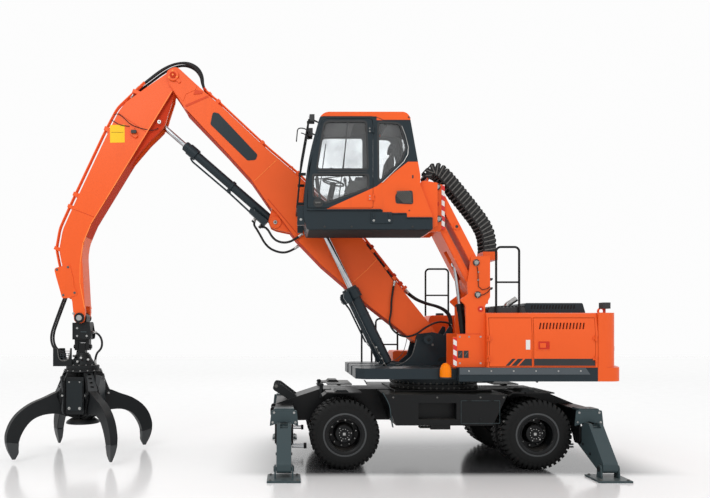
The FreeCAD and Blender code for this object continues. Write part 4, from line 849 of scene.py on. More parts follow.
def make_interior():
    middle, floor = SEAT_Y, CAB_FLOOR
    cushion("seat_cushion", W(-1.19, middle, 4.12), (0.5, 0.47, 0.15), 4)
    cushion("seat_back", W(-0.905, middle, 4.50), (0.12, 0.45, 0.62), 8, 0.2)
    cushion("head_rest", W(-0.845, middle, 4.89), (0.09, 0.26, 0.17), 8, 0.2, 8)
    inside = Piece("cab_fittings", "cab", "black_plastic", moulded, 0.008)
    # seat's box, shell and the head rest's two posts
    inside.prism(mm([(-1410, 3813), (-1390, 3930, 30), (-1340, 4045, 20), (-1000, 4045, 20), (-960, 3930, 30),
                     (-960, 3813)]), face_place(middle - 0.17), 0.34, trim)
    inside.prism(mm([(-1440, 4045, 20), (-1430, 4075, 10), (-900, 4075, 10), (-850, 4850, 20),
                     (-825, 4850, 20), (-860, 4045, 20)]), face_place(middle - 0.2), 0.4)
    for y in (middle - 0.06, middle + 0.06):
        inside.rod(W(-0.862, y, 4.78), W(-0.85, y, 4.86), 0.008, 10, bare)
    # consoles with their pads and sticks
    for y in (middle - 0.327, middle + 0.327):
        inside.prism(mm([(-1560, 3813, 20), (-1560, 4260, 60), (-1490, 4330, 40), (-1050, 4330, 40),
                         (-1050, 3813)]),
                     face_place(y - 0.062), 0.124, trim)
        inside.prism(mm([(-1440, 4328, 15), (-1440, 4385, 25), (-1080, 4385, 25), (-1080, 4328, 15)]),
                     face_place(y - 0.05), 0.1, seat_cloth)
        inside.lathe([(0, 0.045), (0.015, 0.04), (0.04, 0.022), (0.07, 0.014), (0.12, 0.013), (0.15, 0.022),
                      (0.19, 0.026), (0.22, 0.02), (0.23, 0.0)], W(-1.5, y, 4.31), Vector((-0.18, 0, 1)), 20,
                      moulded,
                     closed=False)
    # steering column and wheel, pedals, monitor
    inside.box(W(-1.94, middle - 0.08, floor), W(-1.77, middle + 0.08, floor + 0.05))
    inside.rod(W(-1.857, middle, floor + 0.025), W(-1.74, middle, 4.36), 0.045, 20)
    add_steering_wheel(inside)
    for dy in (-0.2, -0.06, 0.2):
        inside.prism(mm([(-2010, 3815), (-2060, 3960, 20), (-2045, 3965, 10), (-1985, 3815)]),
                     face_place(middle + dy), 0.07)
    inside.prism(mm([(-1980, 4300, 20), (-2010, 4520, 20), (-1960, 4530, 20), (-1930, 4300, 20)]),
                 face_place(middle + 0.2), 0.18)
    inside.wire([W(-1.95, middle + 0.29, 4.31), W(-1.9, middle + 0.29, 4.05), W(-1.9, middle + 0.29, floor)],
                0.018, 10)
    # headlining in two parts, floor mat
    for x0, x1 in ((-1.86, -1.45), (-0.95, -0.62)):
        inside.box(W(x0, CAB_OUT + 0.055, 5.2), W(x1, CAB_IN - 0.055, 5.27), trim)
    inside.box(W(-2.05, CAB_OUT + 0.06, floor - 0.002), W(-0.55, CAB_IN - 0.06, floor + 0.012), moulded)
    inside.make("cab_interior")
    bars = Piece("far_window_bars", "cab", "black_plastic", black, 0.001)
    for line in ([(-2.03, 4.53), (-1.24, 4.62)], [(-1.63, 4.13), (-1.5, 5.17)],
                 [(-1.96, 4.14), (-1.83, 5.1)]):
        bars.wire([W(x, CAB_IN - 0.012, z) for x, z in line], 0.009, 8)
    bars.make()


# ================================================================ body behind the cab
BODY_Y, CREASE = -1.25, 2.038
DOOR_LOW, DOOR_HIGH = 1.556, 2.282
SLOT_LOW, SLOT_HIGH = 2.115, 2.212


def side_reach(node):
    """The body side's lean, read from the node's own points."""
    points = [v.co for v in frame["nodes"][node].data.vertices]
    high = max(p.z for p in points)
    top = min(p.y for p in points if p.z > high - 0.02)
    return (top - BODY_Y) / (high - CREASE)


LEAN = side_reach("left_rear_door")


def skin(z):
    """The body's side at a height: it leans in above its crease."""
    return BODY_Y if z <= CREASE else BODY_Y + (z - CREASE) * LEAN


def side_face(inwards):
    return face_place(BODY_Y + inwards)


def leaf(piece, x0, x1, slots):
    """A door skin following the crease, with slanted slots through its upper part."""
    sheet = plate_mesh([rect(x0, CREASE, x1, DOOR_HIGH)] + [round_off(slot) for slot in slots])
    low = [sheet.verts.new((x, DOOR_LOW, 0)) for x in (x0, x1)]
    top = sorted((v for v in sheet.verts if abs(v.co.y - CREASE) < 1e-6), key=lambda v: v.co.x)
    sheet.faces.new(low + list(reversed(top)))
    bmesh.ops.recalc_face_normals(sheet, faces=sheet.faces)
    inner = push(sheet)
    for vert in sheet.verts:
        vert.co.z = skin(vert.co.y) + (0.026 if vert in inner else 0.0)
    add_sheet(piece, sheet, face_place(0), None)


def make_body_doors():
    front = Piece("left_front_door_skin", "left_front_door", "orange_paint", orange, 0.004, 2)
    leaf(front, 0.581, 1.216, [])
    rear = Piece("left_rear_door_skin", "left_rear_door", "orange_paint", orange, 0.003, 2)
    leaf(rear, 1.248, 2.166, [rect(1.325 + step * 0.0502, SLOT_LOW, 1.349 + step * 0.0502, SLOT_HIGH, 0.004,
                                   0.02)
                              for step in range(14)])
    # black panel behind the slots, painted shade seen through them
    rear.box(W(1.30, skin(2.16) + 0.034, 2.10), W(2.06, skin(2.16) + 0.044, 2.228), moulded)
    for door, hinge_x, way in ((front, 0.578, 1), (rear, 2.169, -1)):
        for z in (1.67, 1.978):
            pin = W(hinge_x, -1.268, z)
            door.rod(pin - UP * 0.021, pin + UP * 0.021, 0.012, 20, orange, chamfer=0.002)
            door.box_at(pin, (0, 0.006, -0.019), (way * 0.042, 0.021, 0.019), orange)
    # recessed latch with its flap and lock
    x, z = 1.405, 1.872
    recess = (x - 0.095, z - 0.06, x + 0.075, z + 0.06)
    pierced(rear, rect(x - 0.11, z - 0.075, x + 0.09, z + 0.075, 0.012), [rect(*recess, 0.01)],
            side_face(-0.005), 0.008, orange)
    # recess floor in deep red, painted shade in the recess
    rear.prism(rect(*recess), side_face(-0.001), 0.003, deep_red)
    rear.prism(rect(x - 0.07, z - 0.035, x + 0.02, z + 0.035, 0.01), side_face(-0.007), 0.01, orange)
    rear.rod(W(x + 0.048, BODY_Y + 0.002, z), W(x + 0.048, BODY_Y - 0.008, z), 0.017, 20, deep_red)
    # blank plate beside the seam
    front.prism(rect(1.125, 1.81, 1.19, 1.955, 0.006), side_face(-0.003), 0.005, white)
    # stripes along the lower edge: three slanted bars, then a plain band
    low, high = 1.566, 1.672
    for door, bar in ((front, rect(0.82, low, 0.875, high, 0, 0.1)),
                      (front, rect(0.905, low, 0.985, high, 0, 0.1)),
                      (front, [(1.015, low), (1.214, low), (1.214, high), (1.115, high)]),
                      (rear, rect(1.250, low, 2.164, high))):
        door.prism(bar, side_face(-0.0015), 0.003, decal)
    front.make("left_front_door")
    rear.make("left_rear_door")


def make_body_details():
    extra = Piece("body_fittings", "upper", "orange_paint", orange, 0.003)
    # fixed far side: slots drawn as dark shapes of painted shade, panel seams and the tank's lid
    far = -BODY_Y
    for step in range(12):
        x = 1.33 + step * 0.055
        extra.prism(rect(x, SLOT_LOW, x + 0.026, SLOT_HIGH, 0.004),
                    face_place(far - (2.16 - CREASE) * LEAN - 0.004, -1), 0.006, moulded)
    for x0, x1 in ((0.60, 1.20), (1.26, 2.14)):
        pierced(extra, rect(x0, 1.60, x1, 2.0, 0.03), [rect(x0 + 0.006, 1.606, x1 - 0.006, 1.994, 0.03)],
                face_place(far - 0.002, -1), 0.005, moulded)
    extra.rod(W(0.3, 0.85, 2.35), W(0.3, 0.85, 2.40), 0.07, 32, moulded, chamfer=0.008)
    # top: walkway plate with studs, exhaust stub
    extra.prism([(0.60, 2.362, 0.02), (0.63, 2.45, 0.03), (1.16, 2.455, 0.03), (1.19, 2.362, 0.02)],
                face_place(-1.08), 0.95, moulded)
    for step in range(9):
        for row in range(4):
            at = W(0.70 + step * 0.055, -1.02 + row * 0.2, 2.452)
            extra.rod(at, at + UP * 0.006, 0.012, 10, bare)
    extra.rail([W(x, -0.62, z) for x, z in ((1.03, 2.44), (1.04, 2.50), (1.13, 2.56), (1.19, 2.60))], 0.045,
               0.03, 18, bare)
    # rear lamp on its stalk
    extra.rail([W(2.44, -0.95, 2.36), W(2.44, -0.95, 2.44)], 0.02, 0.02, 12, deep_red)
    extra.box(W(2.385, -1.03, 2.43), W(2.50, -0.88, 2.525), moulded)
    extra.lathe([(0, 0), (0, 0.042), (0.012, 0.036), (0.012, 0)], W(2.50, -0.955, 2.478), -AHEAD, 24,
                lamp_glass, closed=False)
    # counterweight: lifting eyes and two rear lights
    for y in (-0.6, 0.6):
        extra.ring(W(2.55, y - 0.015, 2.40), SIDE, 0.035, 0.062, 0.03, 28, orange, 0.004)
        extra.box(W(2.50, y - 0.015, 2.355), W(2.60, y + 0.015, 2.38))
    for s in (-1, 1):
        y = s * 0.85
        place = Matrix(((0.309 * -s, 0, 0.951, math.sqrt(2.75 ** 2 - y * y) + SLEW_X - 0.012),
                        (0.951, 0, 0.309 * s, y), (0, 1, 0, 0), (0, 0, 0, 1)))
        extra.prism(rect(-0.13, 1.78, 0.13, 1.86, 0.02), place, 0.02, deep_red)
    extra.make()

    skirt = Piece("skirt_fittings", "upper", "slate_paint", slate, 0.003)
    for s in (-1, 1):
        y = s * far
        skirt.prism([(0.13, 1.435), (0.13, 1.538), (2.02, 1.538), (2.09, 1.435)], face_place(y, -s), -0.008,
                    light_slate)
        for step in range(6):
            skirt.bolt(W(0.27 + step * 0.335, y + s * 0.007, 1.488), SIDE * s, 0.009, bare)
        skirt.bolt(W(1.30, y - s * 0.02, 1.325), -UP, 0.014, moulded)
    skirt.make()

    hood = Piece("hood_slots", "engine_hood", "slate_paint", slate, 0.003)
    # dark slots on both sides of the hood, painted shade standing for the openings
    for s in (-1, 1):
        for step in range(15):
            x = 1.34 + step * 0.047
            hood.prism(rect(x, 2.43, x + 0.022, 2.492, 0.004, 0.013), face_place(s * 0.8495, -s), -0.003,
                       shade_black)
    for y in (-0.5, 0, 0.5):
        hood.box(W(1.33, y - 0.006, 2.520), W(2.11, y + 0.006, 2.530))
    for y in (-0.5, 0.5):
        hood.rail([W(1.245, y - 0.07, 2.45), W(1.22, y - 0.07, 2.47), W(1.22, y + 0.07, 2.47),
                   W(1.245, y + 0.07, 2.45)],
                  0.008, 0.015, 10, moulded)
    hood.make()


# ================================================================ riser
RISER_Y, RISER_LEAN, PIN_GAP = -1.162, math.radians(117.26), 1.27
TOWER_PINS = {"lower": W(0.428, RISER_Y, 2.637), "upper": W(0.405, RISER_Y, 3.122)}
CARRIER_PINS = (W(-0.162, RISER_Y, 3.782), W(-0.185, RISER_Y, 4.267))


def pin_cap(piece, at):
    """A pin's end plate on the left side: disc, lock bar, grease nipple and three bolts."""
    axis, radius = -SIDE, 0.04
    side = axis.orthogonal().normalized()
    piece.discs(at, axis, (-0.004, 0.012, radius * 1.25, 28, moulded, 0.003),
                (0.011, 0.02, radius * 0.8, 24, bare, 0.002),
                (0.019, 0.032, radius * 0.16, 10, bare, 0))
    for turn in (0.6, 2.7, 4.8):
        spot = circle(at + axis * 0.011, side, axis.cross(side), radius * 1.02, 1, turn)[0]
        piece.bolt(spot, axis, radius * 0.13, bare)


def make_tower_details():
    tower = Piece("riser_tower_fittings", "upper", "orange_paint", orange, 0.003)
    for at in TOWER_PINS.values():
        pin_cap(tower, at)
    tower.discs(W(0.475, -1.15, 2.42), -SIDE, (-0.002, 0.006, 0.045, 28, deep_red, 0),
                (0.005, 0.008, 0.014, 24, white, 0))
    # grease lines between the pins, with clips and the plugs behind
    tower.wire([W(0.42, -1.158, 3.06), W(0.43, -1.165, 2.98), W(0.435, -1.162, 2.86), W(0.44, -1.16, 2.76),
                W(0.50, -1.165, 2.71), W(0.58, -1.165, 2.73), W(0.612, -1.155, 2.76)], 0.006, 8, hose)
    tower.wire([W(0.45, -1.168, 2.62), W(0.52, -1.166, 2.64), W(0.585, -1.165, 2.68), W(0.615, -1.155, 2.72)],
               0.006, 8, hose)
    for z in (2.98, 2.86):
        tower.box(W(0.424, -1.166, z - 0.012), W(0.446, -1.149, z + 0.012), bare)
    for z in (2.73, 2.87):
        tower.rail([W(0.618, -1.13, z), W(0.645, -1.13, z), W(0.645, -1.13, z + 0.02)], 0.02, 0.01, 14,
                   moulded)
    # base box: bolts, two square fittings, seam and warning strip
    for x, z in ((0.16, 2.0), (0.475, 2.0), (0.16, 1.60), (0.475, 1.60), (0.3, 2.0)):
        tower.bolt(W(x, -1.149, z), -SIDE, 0.010, bare)
    for x in (0.165, 0.255):
        tower.box(W(x - 0.036, -1.156, 1.68), W(x + 0.036, -1.148, 1.79), moulded)
        tower.wire([W(x - 0.02, -1.16, 1.71), W(x + 0.018, -1.16, 1.765)], 0.006, 8, trim)
    tower.box(W(0.118, -1.1535, 2.04), W(0.47, -1.149, 2.046), deep_red)
    tower.prism(mm(rect(62, 1560, 114, 1985)), face_place(-1.152), 0.01, warning)
    tower.box(W(0.06, -1.145, 1.545), W(0.118, -1.1, 2.0))
    tower.make()

    lamp = Piece("amber_lamp", "upper", "glass", amber, 0.004)
    at = W(-0.06, -1.17, 1.39)
    lamp.lathe([(0, 0), (0, 0.085), (0.05, 0.088), (0.13, 0.082), (0.18, 0.062), (0.21, 0.03), (0.215, 0)],
               at, UP, 32, amber, closed=False)
    lamp.rod(at - UP * 0.02, at + UP * 0.004, 0.09, 32, moulded, chamfer=0.004)
    lamp.box_at(at, (-0.08, 0.02, -0.035), (0.1, 0.12, -0.015), slate)
    lamp.make()


def make_carrier_details():
    carrier = Piece("cab_carrier_fittings", "cab", "orange_paint", orange, 0.004)
    for at in CARRIER_PINS:
        pin_cap(carrier, at)
    # curved side plate from the cab to the post, with its quarter-circle hole
    plate = [(-0.50, 4.20), (-0.46, 4.34, 0.12), (-0.21, 4.30, 0.02), (-0.21, 3.66, 0.02), (-0.31, 3.62),
             (-0.50, 3.62)]
    turns = [math.radians(degrees) for degrees in range(30, 151, 15)]
    hole = [(-0.478, 3.70)] + [(-0.478 + 0.12 * math.sin(a),
                                3.90 - 0.2 * math.cos(a)) for a in turns] + [(-0.478, 4.13)]
    pierced(carrier, plate, [hole], face_place(-1.30), 0.018)
    # dark sheet behind the hole, painted shade
    carrier.prism(grown(hole, 0.01), face_place(-1.275), 0.01, shade_black)
    carrier.prism(mm(rect(-116, 3625, -70, 4300)), face_place(-1.154), 0.012, warning)
    carrier.box(W(-0.14, -1.142, 3.62), W(-0.066, -1.10, 4.305))
    carrier.box(W(-0.185, -1.156, 3.98), W(-0.16, -1.149, 4.04), deep_red)
    carrier.make()


def make_link_details(name):
    """Frames or a boss on a link's outer side, and a ring round each of its pins."""
    way = Vector((math.cos(RISER_LEAN), 0, math.sin(RISER_LEAN)))
    foot = TOWER_PINS[name].copy()
    foot.y = -1.104
    link = Piece("riser_%s_fittings" % name, "riser_%s_link" % name, "orange_paint", orange, 0.003)
    if name == "lower":
        place = frame_at(foot - SIDE * 0.004, way, (way.z, 0, -way.x))
        for s0, s1 in ((0.2, 0.62), (0.66, 1.08)):
            pierced(link, rect(s0, -0.04, s1, 0.04, 0.02),
                    [rect(s0 + 0.012, -0.028, s1 - 0.012, 0.028, 0.015)], place, -0.005)
    else:
        link.discs(foot + way * 0.62, -SIDE, (-0.01, 0.018, 0.05, 28, None, 0.004),
                   (0.017, 0.026, 0.022, 20, moulded, 0))
    for s in (0.02, PIN_GAP):
        link.ring(foot + way * s + SIDE * 0.004, -SIDE, 0.045, 0.072, 0.012, 28, chamfer=0.003)
    link.make()


# ================================================================ wheels
TYRE_MIDDLES, TREAD_RADIUS, LUGS = (0.781, 1.111), 0.5275, 40


def make_tyre(piece, hub, outward, middle):
    """Carcass of one tyre, with two rows of tread lugs that reach over its shoulders."""
    start = hub + outward * middle
    side = [(0.118, 0.291), (0.124, 0.293), (0.1325, 0.31), (0.1385, 0.345), (0.139, 0.385), (0.1375, 0.425),
            (0.134, 0.428), (0.132, 0.455), (0.122, 0.486), (0.1, 0.501), (0.012, 0.506), (0.010, 0.500)]
    piece.lathe(side + [(-a, r) for a, r in reversed(side)], start, outward, 96)
    for way in (-1, 1):
        # bead ring
        bead = [(way * a, r) for a, r in ((0.13, 0.402), (0.1402, 0.405), (0.1402, 0.411), (0.13, 0.414))]
        piece.lathe(bead, start, outward, 96)
        for step in range(LUGS):
            make_lug(piece, start, outward, way, math.tau * (step + (0.5 if way > 0 else 0)) / LUGS)


def make_lug(piece, start, outward, way, turn):
    """One lug: (across, inner radius, outer radius) sections from the middle to the shoulder, skewed."""
    section = [(0.009, 0.4995, TREAD_RADIUS), (0.062, 0.4995, TREAD_RADIUS), (0.11, 0.490, TREAD_RADIUS),
               (0.1275, 0.472, 0.507), (0.1365, 0.44, 0.462), (0.1362, 0.428, 0.432)]
    half = math.tau / LUGS * 0.30
    forward = outward.orthogonal().normalized()
    other = outward.cross(forward)
    verts, faces = [], []
    for across, low, high in section:
        skew = 0.055 * (1 - across / 0.13) * way
        narrow = half * (1.0 if across > 0.03 else 0.8)
        for radius in (low, high):
            for t in (turn + skew - narrow, turn + skew + narrow):
                round_hub = forward * math.cos(t) + other * math.sin(t)
                verts.append(start + outward * (across * way) + round_hub * radius)
    last = 4 * (len(section) - 1)
    for a in range(0, last, 4):
        b = a + 4
        faces += [(a + 2, a + 3, b + 3, b + 2), (a, a + 2, b + 2, b), (a + 3, a + 1, b + 1, b + 3)]
    faces += [(0, 1, 3, 2), (last + 1, last, last + 2, last + 3)]
    piece.add(verts, faces)


def make_rim(piece, hub, outward):
    """Welded rim, its dish with a ring of studs, and the planetary hub."""
    forward = outward.orthogonal().normalized()
    other = outward.cross(forward)

    def row(along, radius, count, first=0.0):
        return circle(hub + outward * along, forward, other, radius, count, first)

    profile = [(0.652, 0.242), (0.648, 0.268), (0.652, 0.288), (0.659, 0.288), (0.661, 0.262), (0.668, 0.255),
               (0.9, 0.255), (0.905, 0.27), (0.985, 0.27), (0.99, 0.255), (1.222, 0.255), (1.229, 0.262),
               (1.233, 0.286), (1.2375, 0.299), (1.2445, 0.302), (1.248, 0.298), (1.2465, 0.284),
               (1.243, 0.262),
               (1.236, 0.252), (1.2, 0.243), (1.06, 0.24), (1.045, 0.234), (1.03, 0.236), (0.99, 0.236),
               (0.976, 0.226), (0.971, 0.21), (0.971, 0.158), (0.978, 0.148), (1.0, 0.146), (1.03, 0.146),
               (1.034, 0.141), (1.13, 0.1395), (1.146, 0.135), (1.1525, 0.124), (1.1525, 0.092),
               (1.147, 0.088),
               (1.147, 0.06), (1.1525, 0.056), (1.1525, 0.0), (1.091, 0.0), (1.091, 0.0655), (0.722, 0.0655),
               (0.722, 0.12), (0.936, 0.12), (0.936, 0.242)]
    piece.lathe(profile, hub, outward, 72)
    piece.ring(hub + outward * 1.225, outward, 0.236, 0.25, 0.012, 72, None, 0.003)
    # lock ring by the tyre's bead in a lighter grey, partly a painted highlight on the rim's edge
    piece.ring(hub + outward * 1.237, outward, 0.303, 0.33, 0.0125, 96, rim_ring_highlight, 0.005)
    for stud in row(0.0, 0.195, 10):
        piece.rod(stud + outward * 0.969, stud + outward * 1.004, 0.0115, 12, bare, chamfer=0.002)
        piece.bolt(stud + outward * 0.971, outward, 0.021, black)
    for spot in row(1.147, 0.074, 12):
        piece.bolt(spot, outward, 0.0075, bare, washer=False)
    for turn in (0.4, 2.5, 4.6):
        plug = row(1.1515, 0.107, 1, turn)[0]
        piece.rod(plug, plug + outward * 0.003, 0.008, 14, bare)
    drain = row(1.15, 0.107, 1, 1.5)[0]
    piece.rod(drain, drain + outward * 0.009, 0.0135, 6, bare, chamfer=0.002)
    piece.box(hub + outward * 1.15 - Vector((0.02, 0.004, 0.02)),
              hub + outward * 1.1535 + Vector((0.02, 0.004, 0.02)), bare)
    # hand holes through the dish, shown as dark slots of painted shade
    for hole in row(0.9705, 0.218, 5, math.tau / 20):
        piece.rod(hole, hole + outward * 0.003, 0.012, 16, shade_black)


def make_wheels():
    height = AT["rear_left_wheels"].z
    for corner, way in CORNERS.items():
        end = corner.split("_")[0]
        hub, outward = Vector((AT[end + "_left_wheels"].x, 0, height)), SIDE * way
        tyres = Piece(corner + "_tread", corner + "_wheels", "tyre_rubber", tyre, 0.0025, 1, 40)
        for middle in TYRE_MIDDLES:
            make_tyre(tyres, hub, outward, middle)
        tyres.make(corner + "_tyres")
        rim = Piece(corner + "_wheel", corner + "_wheels", "rim_paint", black, 0.0015, 1, 30)
        make_rim(rim, hub, outward)
        rim.make(corner + "_rim")


# ================================================================ cable chain
def smooth_line(points):
    """Points of the smooth curve that a route's points steer."""
    data = bpy.data.curves.new("route", "CURVE")
    data.dimensions, data.resolution_u = "3D", 12
    line = data.splines.new("NURBS")
    line.points.add(len(points) - 1)
    for point, place in zip(line.points, points):
        point.co = (*place, 1)
    line.order_u, line.use_endpoint_u = 3, True
    thing = linked("route", data)
    bpy.context.view_layer.update()
    mesh = bpy.data.meshes.new_from_object(thing)
    result = [v.co.copy() for v in mesh.vertices]
    bpy.data.objects.remove(thing)
    bpy.data.curves.remove(data)
    bpy.data.meshes.remove(mesh)
    return result


def even_steps(line, count):
    """Places at even distances along a line."""
    lengths = [0.0]
    for a, b in zip(line, line[1:]):
        lengths.append(lengths[-1] + (b - a).length)
    result, i = [], 0
    for step in range(count + 1):
        target = lengths[-1] * step / count
        while i < len(line) - 2 and lengths[i + 1] < target:
            i += 1
        t = (target - lengths[i]) / max(lengths[i + 1] - lengths[i], 1e-9)
        result.append((line[i].lerp(line[i + 1], t), (line[i + 1] - line[i]).normalized()))
    return result


CHAIN_Y, CHAIN_HALF, CHAIN_DEPTH, CHAIN_LINKS = -0.7975, 0.168, 0.108, 27
CHAIN_ROUTE = [(0.673, 3.312), (0.673, 3.50), (0.60, 3.73), (0.31, 4.10), (0.045, 4.43), (-0.085, 4.565),
               (-0.2, 4.60), (-0.276, 4.54), (-0.278, 4.452)]
# first and last link of each stretch, and the bodies at its two ends, or None for the stretch carried on the
# upper link
CHAIN_SPANS = ((0, 8, ("upper", "riser_upper_link")), (8, 18, None),
               (18, CHAIN_LINKS, ("riser_upper_link", "cab")))


def normal_of(way):
    return Vector((way.z, 0, -way.x))


def make_chain():
    places = even_steps(smooth_line([W(x, CHAIN_Y, z) for x, z in CHAIN_ROUTE]), CHAIN_LINKS)
    for number, (first, last, bodies) in enumerate(CHAIN_SPANS):
        chain = Piece("cable_chain_%d" % (number + 1), None if bodies else "riser_upper_link",
                      "black_plastic", chain_black, 0.0015, 1)
        for i in range(first, last):
            add_link(chain, places[i][0], places[i + 1][0], i)
        for k, y in enumerate((-0.1, -0.035, 0.03, 0.095)):
            run = [place + SIDE * y + normal_of(way) * (0.012 * (k % 2)) for place,
                   way in places[first:last + 1]]
            chain.wire(run, 0.021 - 0.003 * (k % 2), 12, hose)
        thing = chain.make(*(("cable_chain",) if number == 0 else ()))
        if bodies:
            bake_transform(thing)


def add_link(piece, a, b, index):
    """One link between two places: side plates, slanted ribs, joint bosses and two cross bars."""
    middle, way, length = a.lerp(b, 0.5), (b - a).normalized(), (b - a).length
    out = normal_of(way)
    depth = CHAIN_DEPTH * min(1.0, 0.55 + 0.15 * max(0, CHAIN_LINKS - 1 - index))
    lap = length * 0.62
    for side in (-1, 1):
        place = frame_at(middle + SIDE * (side * (CHAIN_HALF - (0.014 if index % 2 else 0.004))), way, out)
        outline = [(-lap, -depth, 0.02), (lap, -depth * 0.86, 0.03), (lap * 0.9, depth * 0.86, 0.02),
                   (0, depth, 0.03), (-lap * 0.9, depth * 0.9, 0.02)]
        piece.prism(outline, place, -0.01 * side)
        rib = rect(-length * 0.30, -depth * 0.8, -length * 0.02, depth * 0.8, 0.008, length * 0.36)
        piece.prism(rib, frame_at(middle + SIDE * (side * (CHAIN_HALF + 0.001)), way, out), 0.006 * side,
                    trim)
        boss = middle + way * (length * 0.5) + SIDE * (side * (CHAIN_HALF + 0.002))
        piece.rod(boss - SIDE * (side * 0.008), boss + SIDE * (side * 0.005), 0.017, 16)
    for height in (depth * 0.9, -depth * 0.82):
        at = middle + out * height
        piece.rod(at - SIDE * (CHAIN_HALF - 0.004), at + SIDE * (CHAIN_HALF - 0.004), 0.011, 10)


# ================================================================ hoses
BOOM_WAY = (math.cos(math.radians(133.77)), 0, math.sin(math.radians(133.77)))
ARM_WAY = (math.cos(math.radians(248.68)), 0, math.sin(math.radians(248.68)))
BOOM_LENGTH, ARM_LENGTH = 6.018, 4.282
GRAPPLE_X, HEAD_SHELF, HEAD_LOW = AT["grapple_swing"].x - SLEW_X, 1.53, 1.455


def up(s, t, y=0.0):
    """A place on the boom: s along it, t square to it."""
    return member(AT["boom"], BOOM_WAY, s, t, y)


def down(s, t, y=0.0):
    """A place on the arm."""
    return member(AT["arm"], ARM_WAY, s, t, y)


def hose_span(name, line, radius, fittings=(True, True), replaced=()):
    """One hose between two bodies: rubber tube, and a crimped steel fitting at each end."""
    start, end = line[0], line[-1]
    tube = Piece(name, None, "hose_rubber", hose, 0)
    tube.wire(line, radius, 14)
    thing = tube.make(*replaced)
    extra = []
    if any(fittings):
        ends = Piece(name + "_fittings", None, "hose_rubber", bare, 0.001, 1)
        for wanted, a, b in ((fittings[0], start, line[1]), (fittings[1], end, line[-2])):
            if wanted:
                ends.discs(a, (b - a).normalized(), (-0.002, 0.03, radius * 1.5, 6, bare, 0.003),
                           (0.03, 0.085, radius * 1.22, 20, bare, 0.003))
        extra.append(ends.make())
        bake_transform(extra[0])
    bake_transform(thing)
    length = sum((b - a).length for a, b in zip(line, line[1:]))


def make_hoses():
    tip, end, x = BOOM_LENGTH, ARM_LENGTH, GRAPPLE_X
    for number, (y, rise) in enumerate(((-0.06, 0), (0, 0.04), (0.06, 0))):
        line = smooth_line([up(tip - 0.56, 0.24, y), up(tip - 0.42, 0.24, y), up(tip - 0.24, 0.365 + rise, y),
                            up(tip - 0.05, 0.385 + rise, y), up(tip + 0.135, 0.28 + rise, y),
                            up(tip + 0.25 + rise, 0.04, y), down(0.235, 0.44 + rise, y), down(0.4, 0.56, y),
                            down(0.56, 0.56, y)])
        hose_span("boom_tip_hose_%d" % (number + 1), line, 0.02,
                  replaced=("boom_tip_hoses",) if number == 0 else ())
    for number, y in enumerate((-0.06, 0.06)):
        line = smooth_line([up(0.82, 0.35, y), up(0.65, 0.35, y), up(0.43, 0.43, y), W(0.14, y, 2.48),
                            W(0.29, y, 2.35), W(0.3, y, 2.12), W(0.3, y, 1.9)])
        line.reverse()
        hose_span("boom_foot_hose_%d" % (number + 1), line, 0.02,
                  replaced=("boom_foot_hoses",) if number == 0 else ())
    for number, y in enumerate((-0.06, 0.06)):
        line = smooth_line([down(end - 0.38, 0.4, y), down(end - 0.22, 0.4, y), W(x - 0.44, y, 2.26),
                            W(x - 0.53, y, 1.99), W(x - 0.48, y, 1.78), W(x - 0.31, y, 1.7),
                            W(x - 0.31, y, HEAD_SHELF)])
        split = len(line) // 2
        hose_span("grapple_hose_%d_upper" % (number + 1), line[:split + 1], 0.018,
                  (True, False), ("grapple_hoses",) if number == 0 else ())
        hose_span("grapple_hose_%d_lower" % (number + 1), line[split:], 0.018,
                  (False, True))
    line = smooth_line([W(x + 0.146, 0, 2.06), W(x + 0.235, 0, 2.06), W(x + 0.32, 0, 1.95),
                        W(x + 0.32, 0, 1.79), W(x + 0.205, 0, 1.69), W(x + 0.205, 0, HEAD_LOW + 0.06)])
    hose_span("grapple_hose_3", line, 0.018)


# ================================================================ boom, arm and their cylinders
BOOM_SIDE, ARM_SIDE, SKIN = 0.225, 0.19, 0.004
ARM_CYLINDER_BASE, ARM_CYLINDER_EYE = (3.122, -0.448), (0.775, -0.038)
BOTH_SIDES = (-1, 1)


def boom_face(y):
    """A plane of the boom at y: x along it, y square to it."""
    return frame_at(up(0, 0, y), BOOM_WAY, (BOOM_WAY[2], 0, -BOOM_WAY[0]))


def arm_face(y):
    return frame_at(down(0, 0, y), ARM_WAY, (ARM_WAY[2], 0, -ARM_WAY[0]))


def strip(piece, place, points, width, depth, material):
    """A narrow raised band along a line on a face."""
    for (x0, z0), (x1, z1) in zip(points, points[1:]):
        way = Vector((x1 - x0, z1 - z0)).normalized()
        side = Vector((-way.y, way.x)) * width / 2
        a, b = Vector((x0, z0)) - way * width * 0.3, Vector((x1, z1)) + way * width * 0.3
        piece.prism([tuple(a - side), tuple(b - side), tuple(b + side), tuple(a + side)], place, depth,
                    material)


def add_flange(piece, place, line, width, thick=0.004):
    """Thin plates along a line, square to its plane, with their upper faces on the line, in darker red as
    painted shade.
    """
    for (s0, t0), (s1, t1) in zip(line, line[1:]):
        piece.prism([(s0, t0 - thick), (s1, t1 - thick), (s1, t1), (s0, t0)], place, width, shaded_red)


def pipe_clamp(piece, face, s, t, half, drop, rise, radius, ys, width, material):
    """A block over the pipes at each y."""
    outline = [(s - half, t - drop), (s - half, t + rise, radius), (s + half, t + rise, radius),
               (s + half, t - drop)]
    for y in ys:
        piece.prism(outline, face(y), width, material)


